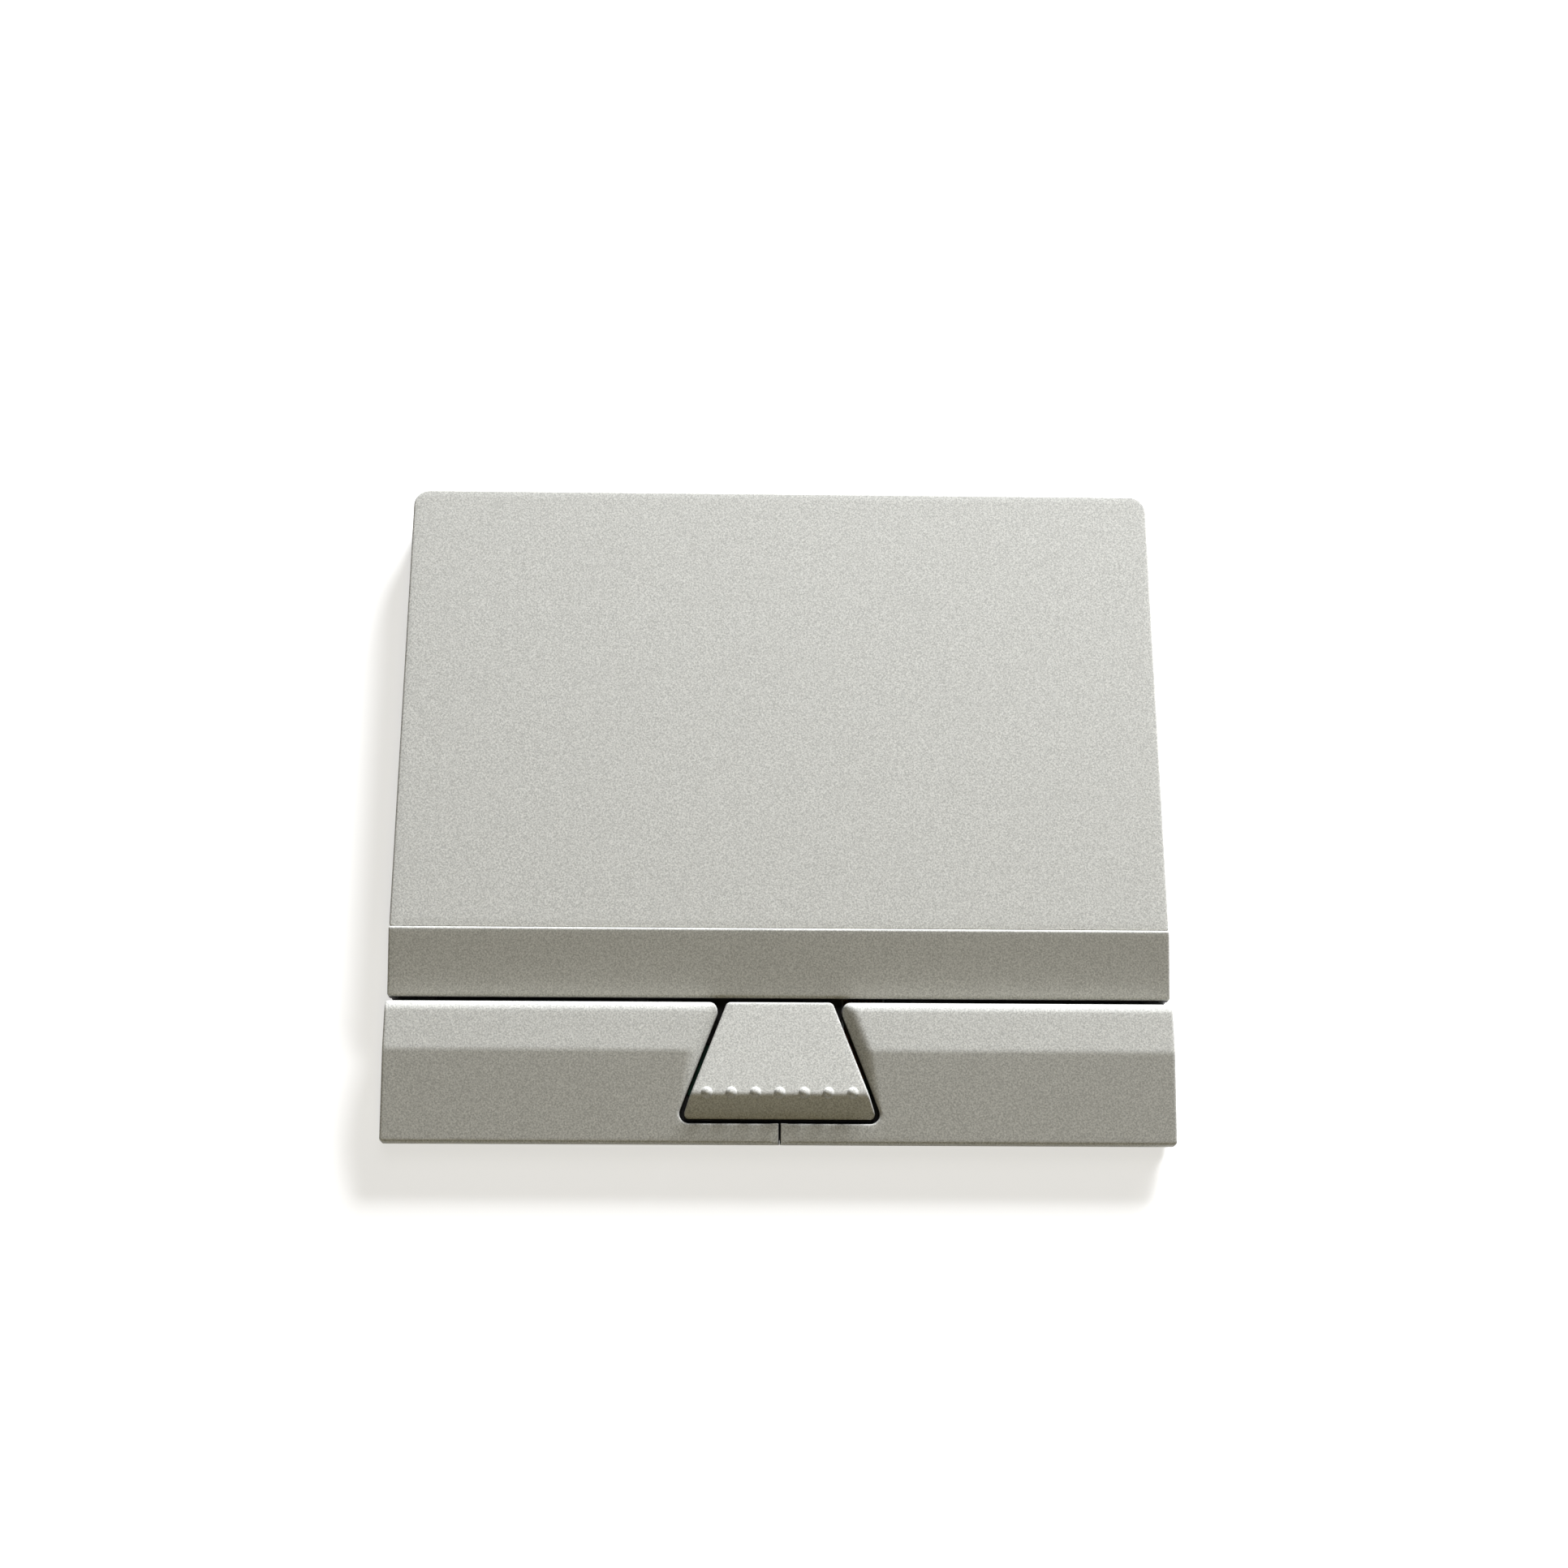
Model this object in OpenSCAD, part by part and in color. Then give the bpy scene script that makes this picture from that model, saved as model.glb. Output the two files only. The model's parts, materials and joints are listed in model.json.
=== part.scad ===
// Three-button trackpad module: a touch surface, a sloped strip and three hinged buttons,
// carried by a moulded frame on a steel plate. All sizes are in millimetres.
// X runs from left to right, Y towards the back and Z up.
// The origin lies under the middle of the module, on the underside of the plate.

/* [Module] */
// Width of the module
module_w = 100; // [96:1:130]
// Height from the underside of the plate to the ridge
module_h = 6; // [5.9:0.1:8]
// Depth of the touch surface
pad_d = 61.75; // [58:0.25:80]
// Depth of the sloped strip
strip_d = 8.75; // [8:0.05:12]
// Depth of the button row
button_d = 17.9; // [17.8:0.1:22]
// Gap between the strip and the buttons
seam = 0.7; // [0.5:0.05:1]
// Radius of the two rear corners
corner_r = 2.2; // [1:0.1:4]
// Small radius on the edges that fingers meet
edge_r = 0.3; // [0.1:0.05:0.4]

/* [Touch surface] */
// How far the touch surface lies below the ridge
pad_recess = 0.3; // [0.1:0.05:0.5]
// Thickness of the touch surface
overlay_t = 0.7; // [0.5:0.05:1]
// Thickness of the adhesive sheet
adhesive_t = 0.1; // [0.05:0.01:0.2]
// Margin between the edges of the touch surface and the adhesive
adhesive_inset = 0.8; // [0.4:0.1:2]
// Thickness of the sensor board
board_t = 0.8; // [0.6:0.05:1]
// Margin between the edges of the touch surface and the sensor board
board_inset = 0.6; // [0.4:0.1:0.9]

/* [Strip] */
// Fall of the strip from the ridge to its front edge
strip_drop = 2.2; // [1:0.1:2.3]
// Wall of the strip
strip_wall = 0.8; // [0.6:0.05:0.9]
// Thickness of the leg under the ridge and of the end cheeks
strip_leg = 1.2; // [0.8:0.1:1.6]
// Radius of the ridge
ridge_r = 0.35; // [0.2:0.05:0.6]
// Gap between the touch surface and the ridge
pad_seam = 0.06; // [0.02:0.02:0.2]
// Distance of the strip screws from the middle
strip_screw_x = 30; // [26:0.5:34]
// Radius of the bosses that take the strip screws
strip_boss_r = 1.7; // [1.4:0.1:2]

/* [Side buttons] */
// How far the side buttons lie below the ridge
button_sink = 0.4; // [0:0.1:0.5]
// Depth of the level top behind the crest
crest_d = 6.7; // [4:0.1:7.6]
// Fall of the slope from the crest to the front edge
button_drop = 2.1; // [1:0.1:2.2]
// Radius of the back edge
back_fillet = 1.3; // [0.4:0.1:1.6]
// Radius of the crest
crest_r = 4; // [1:0.5:8]
// Wall of the side caps
cap_wall = 1.2; // [0.9:0.05:1.25]
// Depth of the bar in front of the middle button
bar_d = 2.45; // [1.8:0.05:2.6]
// Gap between the left and the right button
split_gap = 0.3; // [0.2:0.05:0.6]
// Radius of the corner beside the middle button's back edge
inner_r = 1.3; // [0.5:0.1:1.8]
// Radius of the corner round the middle button's front edge
nook_r = 1.2; // [0.5:0.1:1.8]
// Radius of the outer corners seen from above
outer_r = 0.5; // [0.2:0.1:1]
// Depth of the bevel beside the middle button
bevel_drop = 1.05; // [0.4:0.05:1.3]
// Angle of the bevel to the level
bevel_angle = 40; // [35:1:55]

/* [Middle button] */
// Width of the back edge
mid_back_w = 13.4; // [13.2:0.1:16]
// Width of the front edge
mid_front_w = 24.5; // [20:0.1:26]
// Gap round the middle button
mid_gap = 0.6; // [0.4:0.05:0.8]
// How far the back edge lies below the ridge
mid_sink = 1.3; // [0.6:0.1:1.4]
// Rise of the top from the back edge to the bumps
mid_rise = 0.7; // [0.2:0.05:0.8]
// Depth of the sloped front face
face_d = 3; // [2.4:0.1:3.4]
// Fall of the front face
face_drop = 1.8; // [1.2:0.1:1.9]
// Wall of the middle cap
mid_wall = 1; // [0.8:0.05:1.1]
// Radius of the back edge of the top
mid_fillet = 0.45; // [0.2:0.05:0.8]
// Radius of the back corners seen from above
mid_back_r = 0.8; // [0.3:0.1:1.2]
// Number of tactile bumps
bump_count = 7; // [3:2:7]
// Distance from bump to bump
bump_pitch = 3.05; // [2.4:0.05:3.1]
// Radius of a bump
bump_r = 0.68; // [0.5:0.02:0.8]
// How far the bumps lie behind and below the edge of the top
bump_sink = 0.2; // [0.1:0.05:0.3]

/* [Levers] */
// Distance from the strip's front edge back to the hinge axis
hinge_back = 3.2; // [2.6:0.1:3.4]
// Height of the hinge axis over the floor of the frame
hinge_h = 0.9; // [0.85:0.01:0.95]
// Diameter of the trunnions and thickness of the arms
trunnion_d = 1.2; // [1:0.05:1.3]
// Clearance round the trunnions
hinge_clear = 0.05; // [0.02:0.01:0.1]
// Width of an arm
arm_w = 2.4; // [2:0.1:2.8]
// Length of a trunnion on each side of its arm
ear_w = 1.2; // [0.8:0.1:1.3]
// Thickness of the lever plate
lever_t = 0.9; // [0.7:0.05:1]
// Glue line between a cap and its lever
glue_gap = 0.03; // [0.01:0.01:0.1]
// Margin between a lever's edge and the cap's walls
lever_gap = 0.5; // [0.3:0.05:0.8]
// Distance from an outer arm to the hook beside it
hook_step = 6; // [5.2:0.1:8]
// Distance from the front edge of the buttons back to the hooks
hook_back = 4.95; // [4.6:0.05:5]
// Width of a hook
hook_w = 3; // [2:0.1:3.4]
// Thickness of a hook's leg
hook_leg = 0.8; // [0.6:0.05:0.85]
// Reach of a hook's barb
barb_d = 0.7; // [0.4:0.05:0.8]
// Height of a hook's barb
barb_h = 0.5; // [0.4:0.05:0.55]
// Radius of the nub that presses the switch
nub_r = 1; // [0.6:0.1:1.2]

/* [Switches] */
// Distance from an outer arm in to the side switch
switch_in = 17.1; // [15:0.1:20]
// Distance from the buttons' back edge forward to the switches
switch_fwd = 8.15; // [7.6:0.05:8.2]
// Side of the square switch housing
switch_w = 5.2; // [4.6:0.1:5.4]
// Height of the switch housing
housing_h = 0.85; // [0.8:0.01:0.9]
// Radius of the well in the housing
well_r = 1.8; // [1.75:0.05:2.2]
// Thickness of the switch cover
cover_t = 0.15; // [0.1:0.01:0.18]
// Radius of the stem
stem_r = 1; // [0.7:0.05:1.2]
// Height of the stem over the cover
stem_out = 0.5; // [0.42:0.01:0.55]
// Clearance between the stem and its cover, and between the nub and the stem
stem_clear = 0.08; // [0.04:0.01:0.1]
// Radius of the snap dome
dome_r = 1.7; // [1.4:0.05:1.75]
// Thickness of the switch board
switch_board_t = 0.6; // [0.5:0.05:0.65]

/* [Base] */
// Thickness of the support plate
plate_t = 0.6; // [0.5:0.05:0.65]
// Thickness of the frame's floor
floor_t = 0.6; // [0.55:0.05:0.7]
// Margin between the module's sides and the plate
plate_inset = 0.6; // [0.4:0.1:1]
// Margin between the module's sides and the frame
frame_inset = 0.4; // [0.2:0.1:0.6]
// Margin between the front of the buttons and the frame
tray_inset = 0.9; // [0.6:0.1:0.95]
// Width of the frame's rails
rail_w = 4; // [3:0.1:5]
// Distance of the two middle ribs from the middle
rib_x = 15.5; // [14.6:0.1:18]
// Width of the middle ribs
rib_w = 2; // [1.5:0.1:2.6]
// Depth of the cross beam under the sensor board's front edge
beam_d = 3; // [2:0.1:4]
// Depth of the step that carries the strip
step_d = 4; // [3:0.1:4.4]
// Distance between the threaded bushes from left to right
nut_span_x = 72; // [60:0.5:80]
// Distance between the threaded bushes from front to back
nut_span_y = 42; // [30:0.5:44]
// Bore radius of the threaded bushes
nut_bore_r = 1; // [0.8:0.05:1.2]
// Flange radius of the threaded bushes
nut_flange_r = 2.3; // [2:0.1:2.8]
// Height of the threaded bushes over the plate
nut_h = 1.6; // [1:0.1:2.2]
// Distance between the rail screws from front to back
rail_screw_span = 38; // [24:0.5:44]
// Shank radius of the screws
screw_r = 0.8; // [0.6:0.05:0.9]
// Head radius of the screws
head_r = 1.5; // [1.2:0.05:1.8]
// Height of the screw heads
head_h = 0.42; // [0.3:0.02:0.44]
// Radius of the dimples that take the screw heads
dimple_r = 2.1; // [1.9:0.05:2.2]
// Depth of the dimples
dimple_h = 0.5; // [0.46:0.02:0.54]

/* [Connector] */
// Width of the host connector
connector_w = 13; // [12.6:0.1:16]
// Depth of the host connector
connector_d = 4.6; // [4.2:0.1:6]
// Height of the host connector
connector_h = 1.6; // [1.4:0.1:1.8]
// Number of contacts
contact_count = 10; // [6:1:10]
// Distance from contact to contact
contact_pitch = 1; // [0.8:0.05:1]
// Width of the window in the plate under the connector
window_w = 20; // [16:0.5:24]
// Depth of the window in the plate under the connector
window_d = 13.6; // [10:0.2:16]
// Width of the ribbon cable
ribbon_w = 5; // [3:0.1:5.2]
// Distance of the ribbon cable from the middle
ribbon_x = 10.8; // [10.6:0.1:11]

/* [Hidden] */
$fn = 48;
// Overlap that keeps cuts clear of coincident faces
cut = 0.05;
// Clearance of pieces that are dropped into place
drop_clear = 0.2;
// Clearance of a piece on its locating face or pin
pin_clear = 0.05;

// Places from front to back
half_w = module_w / 2;
total_d = pad_d + strip_d + seam + button_d;
y_back = total_d / 2;
y_pad = y_back - pad_d;
y_ridge = y_pad - pad_seam;
y_strip = y_pad - strip_d;
y_button = y_strip - seam;
y_front = y_button - button_d;
y_hinge = y_strip + hinge_back;
y_crest = y_button - crest_d;
y_bar = y_front + bar_d;
y_mid_front = y_bar + mid_gap;
y_face = y_mid_front + face_d;
y_switch = y_button - switch_fwd;
y_hook = y_front + hook_back;
y_lever = y_button - cap_wall - lever_gap;
y_beam = y_pad + beam_d;
y_rail = y_back - frame_inset - rail_w;
y_bay = (y_beam + y_rail) / 2;

// Heights, from the plate up
z_floor = plate_t + floor_t;
seat_h = 1.3;
skirt_h = 1;
z_seat = z_floor + seat_h;
z_skirt = z_floor + skirt_h;
z_hinge = z_floor + hinge_h;
trunnion_r = trunnion_d / 2;
z_saddle = z_hinge + trunnion_r / 2;
z_pad = module_h - pad_recess;
z_overlay = z_pad - overlay_t;
z_board_top = z_overlay - adhesive_t;
z_board = z_board_top - board_t;
strip_angle = atan(strip_drop / (strip_d - pad_seam));
z_ridge = module_h + ridge_r * (tan(strip_angle) + 1 / cos(strip_angle) - 1);
z_strip = z_ridge - strip_drop;
z_side = module_h - button_sink;
z_side_front = z_side - button_drop;
z_bevel = z_side - bevel_drop;
z_mid = module_h - mid_sink;
z_mid_edge = z_mid + mid_rise;
z_mid_front = z_mid_edge - face_drop;

// Heights of the switches
z_switch = plate_t + switch_board_t;
well_floor = 0.15;
z_well = z_switch + well_floor;
z_cover = z_switch + housing_h;
dome_h = 0.34;
dome_t = 0.07;
flange_h = 0.25;
z_stem = z_cover - pin_clear - flange_h;
z_stem_top = z_cover + cover_t + stem_out;
z_nub = z_stem_top + stem_clear / 2;
leg_t = 0.15;
leg_foot = 0.8;
leg_h = 0.5;
leg_w = 0.7;
leg_row = 1.4;

// The slanted sides of the middle button
slant = atan((mid_front_w - mid_back_w) / 2 / (y_button - y_mid_front));
function mid_half(y) = mid_back_w / 2 + (y_button - y) * tan(slant);
function side_x(y) = mid_half(y) + mid_gap / cos(slant);

// Undersides of the caps, as lines from front to back
side_ceiling = [
    [y_front, z_side_front - cap_wall],
    [y_crest, z_side - cap_wall],
    [y_button, z_side - cap_wall]
];
mid_ceiling = [
    [y_mid_front, z_mid_front - mid_wall],
    [y_face, z_mid_edge - mid_wall],
    [y_button, z_mid - mid_wall]
];

// Levers from side to side
side_lever_in = side_x(y_bar) + cap_wall / cos(slant) + lever_gap;
side_lever_out = half_w - cap_wall - lever_gap;
arm_margin = 0.8;
arm_inset = arm_w / 2 + ear_w + arm_margin;
side_arms = [side_lever_in + arm_inset, side_lever_out - arm_inset];
side_hooks = [side_arms[0] + hook_step, side_arms[1] - hook_step];
mid_lever_out = mid_half(y_button - mid_wall) - mid_wall / cos(slant) - lever_gap;
mid_arm = mid_lever_out - arm_w / 2;
mid_arms = [-mid_arm, mid_arm];
mid_hooks = [0];
all_arms = concat(-side_arms, mid_arms, side_arms);
all_hooks = concat(-side_hooks, mid_hooks, side_hooks);
switch_x = side_arms[1] - switch_in;
all_switches = [-switch_x, 0, switch_x];
gusset_d = 4;
hook_slack = 0.04;
lintel_h = 0.45;
lintel_gap = 0.15;
lintel_land = 1;
slot_clear = 0.3;
lintel_half = hook_w / 2 + slot_clear + lintel_land;

// Fasteners, seen from above
screw_play = 0.15;
pilot_play = 0.02;
dimple_wall = 0.5;
boss_wall = 0.8;
boss_r = dimple_r + dimple_wall + boss_wall;
screw_hole_r = screw_r + screw_play;
pilot_r = screw_r + pilot_play;
front_boss_h = 1.3;
rail_screw_x = half_w - frame_inset - boss_r;
rail_screws = [for (x = [-1, 1], y = [-1, 1]) [x * rail_screw_x, y_bay + y * rail_screw_span / 2]];
strip_screw_gap = 1;
y_strip_screw = y_ridge - strip_leg - strip_screw_gap;
strip_screws = [for (x = [-1, 1]) [x * strip_screw_x, y_strip_screw]];
front_screw_gap = 1.5;
front_screw_back = 2.2;
front_screw_x = side_arms[1] - arm_w / 2 - boss_r - front_screw_gap;
front_screws = [for (x = [-1, 1]) [x * front_screw_x, y_switch + front_screw_back]];
all_screws = concat(rail_screws, strip_screws, front_screws);
rail_screw_l = 3;
front_screw_l = 1.8;
clinch_nut_places = [for (x = [-1, 1], y = [-1, 1]) [x * nut_span_x / 2, y_bay + y * nut_span_y / 2]];
nut_wall = 0.6;
nut_shank_r = nut_bore_r + nut_wall;
peg_r = 0.8;
peg_x = half_w - frame_inset - rail_w / 2;
peg_places = [[-peg_x, y_bay], [peg_x, y_bay]];

// Boards, connector and ribbon cable
board_end = 2.4;
board_edge = 0.6;
switch_board_x = switch_x + switch_w / 2 + board_end;
switch_board_y = switch_w / 2 + board_edge;
connector_fwd = 12;
y_connector = y_bay + connector_fwd;
connector_front = y_connector - connector_d / 2;
connector_back = y_connector + connector_d / 2;
z_connector = z_board - connector_h;
connector_cheek = 1;
connector_top = 0.4;
connector_rear = 1;
latch_t = 0.5;
latch_d = 2.2;
latch_pin_r = 0.2;
latch_pin_clear = 0.03;
latch_gap = 0.1;
y_latch = connector_front + latch_d - latch_t / 2;
z_latch = z_connector + latch_t / 2;
latch_half = connector_w / 2 - connector_cheek - latch_gap;
contact_w = 0.3;
contact_play = 0.02;
contact_tip = 0.35;
contact_tail = 0.7;
contact_step = 0.6;
chip_fwd = 8;
y_chip = y_bay - chip_fwd;
chip_w = 7;
chip_h = 0.85;
chip_mark = 0.8;
capacitor_l = 1;
capacitor_w = 0.5;
capacitor_step = 1.6;
ribbon_t = 0.15;
ribbon_lift = 0.05;
ribbon_ramp = 4;
ribbon_tab = 1;
y_ribbon_start = y_switch - ribbon_tab;
y_ribbon_drop = y_switch + switch_board_y + drop_clear;
y_ribbon_climb = y_beam + slot_clear;
ribbon_climb = 8;
ribbon_pad = 3;
damper_r = 0.7;
damper_h = lintel_h;
y_damper = y_front + tray_inset + damper_r + pin_clear;
damper_in = 6;
damper_x = [-side_hooks[1], -damper_in, damper_in, side_hooks[1]];

// Outlines with rounded corners
function unit(v) = v / norm(v);
function turn(v, a) = [v[0] * cos(a) - v[1] * sin(a), v[0] * sin(a) + v[1] * cos(a)];
function corner(a, b, c, r, n) =
    let (u = unit(a - b), v = unit(c - b), half = acos(u * v) / 2, side = sign(cross(u, v)))
    let (centre = b + unit(u + v) * r / sin(half), start = b + u * r / tan(half) - centre)
    r == 0 ? [b] : [for (i = [0:n]) centre + turn(start, -side * (180 - 2 * half) * i / n)];
function rounded(points, radii, n = 6) =
    let (last = len(points) - 1)
    [for (i = [0:last])
        each corner(points[i == 0 ? last : i - 1], points[i], points[i == last ? 0 : i + 1], radii[i], n)];

// A flat outline raised from one height to another
module layer(z0, z1) {
    translate([0, 0, z0]) linear_extrude(z1 - z0) children();
}

// An outline in Y and Z drawn out from one X to another
module along_x(x0, x1) {
    translate([x0, 0, 0]) rotate([90, 0, 90]) linear_extrude(x1 - x0) children();
}

// An outline in X and Z drawn out from one Y to another
module along_y(y0, y1) {
    translate([0, y1, 0]) rotate([90, 0, 0]) linear_extrude(y1 - y0) children();
}

module block(from, to) {
    translate(from) cube(to - from);
}

// A round bar from one height to another
module post(place, r, z0, z1) {
    translate([place[0], place[1], z0]) cylinder(r = r, h = z1 - z0);
}

// A rectangle, even about the middle, with its own radius at the front and at the back
module sheet(x_half, y0, y1, front_r, back_r) {
    corners = [[-x_half, y0], [x_half, y0], [x_half, y1], [-x_half, y1]];
    polygon(rounded(corners, [front_r, front_r, back_r, back_r]));
}

// A slot with round ends that runs from front to back
module stadium(x, y0, y1, r) {
    translate([x - r, y0]) square([2 * r, y1 - y0]);
    translate([x, y0]) circle(r);
    translate([x, y1]) circle(r);
}

// Slots in the floor and the plate through which the hooks reach
module hook_slots(z0, z1) {
    x_half = hook_w / 2 + slot_clear;
    for (x = all_hooks) {
        block([x - x_half, y_hook - barb_d - slot_clear, z0],
            [x + x_half, y_hook + hook_leg + slot_clear, z1]);
    }
}

// Support plate

bead_r = 1.6;
bead_h = 0.4;
bead_in = 6;
bead_x = (rib_x + half_w - frame_inset - rail_w) / 2 - bead_in;
bead_end = 6;
window_back = 0.8;
y_window = connector_front + window_back;

module plate_beads(r) {
    for (x = [-bead_x, bead_x]) {
        stadium(x, y_beam + bead_end, y_rail - bead_end, r);
    }
}

module support_plate() {
    color("silver") difference() {
        union() {
            layer(0, plate_t)
                sheet(half_w - plate_inset, y_front + tray_inset + drop_clear, y_back - plate_inset,
                    plate_inset, max(corner_r - plate_inset, edge_r));
            layer(plate_t / 2, plate_t + bead_h) plate_beads(bead_r);
            for (p = all_screws) {
                post(p, dimple_r + dimple_wall, plate_t / 2, plate_t + dimple_h);
            }
        }
        layer(-cut, bead_h) plate_beads(bead_r - plate_t);
        for (p = all_screws) {
            post(p, dimple_r, -cut, dimple_h);
            post(p, screw_hole_r, -cut, plate_t + dimple_h + cut);
        }
        for (p = clinch_nut_places) {
            post(p, nut_shank_r + pin_clear, -cut, plate_t + cut);
        }
        block([-window_w / 2, y_window - window_d / 2, -cut],
            [window_w / 2, y_window + window_d / 2, plate_t + cut]);
        hook_slots(-cut, plate_t + cut);
    }
}

// Carrier frame

// Half length of a saddle, which holds one arm's two trunnions
saddle_half = arm_w / 2 + ear_w + slot_clear;
saddle_wall = 1;
saddle_d = trunnion_r + saddle_wall;

module frame_bays() {
    x_rail = half_w - frame_inset - rail_w;
    bay_depth = y_rail - y_beam;
    translate([rib_w / 2 - rib_x, y_beam]) square([2 * rib_x - rib_w, bay_depth]);
    for (side = [0, 1]) {
        mirror([side, 0]) translate([rib_x + rib_w / 2, y_beam])
            square([x_rail - rib_x - rib_w / 2, bay_depth]);
    }
}

module frame_body() {
    x_half = half_w - frame_inset;
    // Rails, ribs and beam under the sensor board
    layer(plate_t, z_board) difference() {
        sheet(x_half, y_pad, y_back - frame_inset, 0, max(corner_r - frame_inset, edge_r));
        frame_bays();
    }
    // Step and side rails under the strip
    block([-x_half, y_pad - step_d, plate_t], [x_half, y_pad + cut, z_seat]);
    for (side = [0, 1]) {
        mirror([side, 0, 0])
            block([x_half - rail_w, y_strip, plate_t], [x_half, y_pad, z_seat]);
    }
    // Floor under the buttons
    layer(plate_t, z_floor) sheet(x_half, y_front + tray_inset, y_pad - step_d + cut, edge_r, 0);
    // Saddles for the trunnions
    for (x = all_arms) {
        block([x - saddle_half, y_hinge - saddle_d, plate_t],
            [x + saddle_half, y_hinge + saddle_d, z_saddle]);
    }
    // Bars that the hooks catch under
    for (x = all_hooks) {
        block([x - lintel_half, y_hook - barb_d - slot_clear - drop_clear, z_floor - cut],
            [x + lintel_half, y_hook - lintel_gap, z_floor + lintel_h]);
    }
    // Screw bosses and locating pegs
    for (p = rail_screws) {
        post(p, boss_r, plate_t, z_board);
    }
    for (p = strip_screws) {
        post(p, boss_r, plate_t, z_seat);
    }
    for (p = front_screws) {
        post(p, boss_r, plate_t, z_floor + front_boss_h);
    }
    for (p = peg_places) {
        post(p, peg_r, z_board - cut, z_board_top - pin_clear);
    }
}

// Room for the arms and a trunnion bearing that is open at the top
module hinge_cuts() {
    slot_half = arm_w / 2 + drop_clear;
    bearing_r = trunnion_r + hinge_clear;
    for (x = all_arms) {
        block([x - slot_half, min(y_strip, y_hinge - saddle_d) - cut, z_floor],
            [x + slot_half, y_hinge + trunnion_r + drop_clear, module_h]);
        translate([x - saddle_half, y_hinge, z_hinge]) rotate([0, 90, 0])
            cylinder(r = bearing_r, h = 2 * saddle_half);
        block([x - saddle_half, y_hinge - bearing_r, z_hinge],
            [x + saddle_half, y_hinge + bearing_r, module_h]);
    }
}

module carrier_frame() {
    board_x = switch_board_x + drop_clear;
    board_y = switch_board_y + drop_clear;
    ribbon_half = ribbon_w / 2 + slot_clear;
    color("dimgray") difference() {
        frame_body();
        hinge_cuts();
        // Window round the switch board and the channel for the ribbon cable
        block([-board_x, y_switch - board_y, plate_t - cut],
            [board_x, y_switch + board_y, z_floor + cut]);
        block([ribbon_x - ribbon_half, y_switch, plate_t - cut],
            [ribbon_x + ribbon_half, y_beam + cut, z_floor]);
        // Slots under the bars
        hook_slots(plate_t - cut, z_floor);
        // Recesses over the plate's dimples, and the screw holes
        for (p = all_screws) {
            post(p, dimple_r + dimple_wall + pin_clear, plate_t - cut, plate_t + dimple_h);
        }
        for (p = rail_screws) {
            post(p, pilot_r, plate_t, dimple_h + rail_screw_l + drop_clear);
        }
        for (p = strip_screws) {
            post(p, screw_hole_r, plate_t, z_seat + cut);
        }
        for (p = front_screws) {
            post(p, pilot_r, plate_t, dimple_h + front_screw_l + cut);
        }
    }
}

// Touch surface and what lies under it

module sensor_board() {
    color("seagreen") difference() {
        layer(z_board, z_board_top)
            sheet(half_w - board_inset, y_pad + board_inset, y_back - board_inset,
                edge_r, max(corner_r - board_inset, edge_r));
        for (p = peg_places) {
            post(p, peg_r + pin_clear, z_board - cut, z_board_top + cut);
        }
    }
}

module surface_adhesive() {
    color("lightyellow") layer(z_board_top, z_overlay)
        sheet(half_w - adhesive_inset, y_pad + adhesive_inset, y_back - adhesive_inset,
            edge_r, max(corner_r - adhesive_inset, edge_r));
}

module touch_surface() {
    color("silver") intersection() {
        layer(z_overlay, z_pad) sheet(half_w, y_pad, y_back, edge_r, corner_r);
        along_x(-half_w, half_w)
            polygon(rounded([[y_pad, z_overlay], [y_back, z_overlay], [y_back, z_pad], [y_pad, z_pad]],
                [0, 0, edge_r, 0]));
        along_y(y_pad, y_back)
            polygon(rounded([[-half_w, z_overlay], [half_w, z_overlay], [half_w, z_pad], [-half_w, z_pad]],
                [0, 0, edge_r, edge_r]));
    }
}

module touch_controller() {
    x = chip_w / 2;
    outline = [[-x, -x], [x, -x], [x, x], [chip_mark - x, x], [-x, x - chip_mark]];
    color("black") layer(z_board - chip_h, z_board) translate([0, y_chip]) polygon(outline);
}

module board_capacitors() {
    color("tan") for (side = [-1, 1], i = [-2:2]) {
        x = side * (chip_w / 2 + capacitor_step);
        translate([x, y_chip + i * capacitor_step, z_board - capacitor_w / 2])
            cube([capacitor_l, capacitor_w, capacitor_w], center = true);
    }
}

// Host connector

module connector_housing() {
    x = connector_w / 2;
    x_in = x - connector_cheek;
    color("ivory") difference() {
        block([-x, connector_front, z_connector], [x, connector_back, z_board]);
        block([-x_in, connector_front - cut, z_connector - cut],
            [x_in, connector_back - connector_rear, z_board - connector_top]);
        translate([-x_in - connector_cheek / 2, y_latch, z_latch]) rotate([0, 90, 0])
            cylinder(r = latch_pin_r + latch_pin_clear, h = 2 * x_in + connector_cheek);
        for (i = [0:contact_count - 1]) {
            x_contact = (i - (contact_count - 1) / 2) * contact_pitch;
            block([x_contact - contact_w / 2, connector_front + contact_step - contact_play,
                z_board - connector_top - cut],
                [x_contact + contact_w / 2, connector_back + cut, z_board - connector_top / 2]);
        }
    }
}

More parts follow.
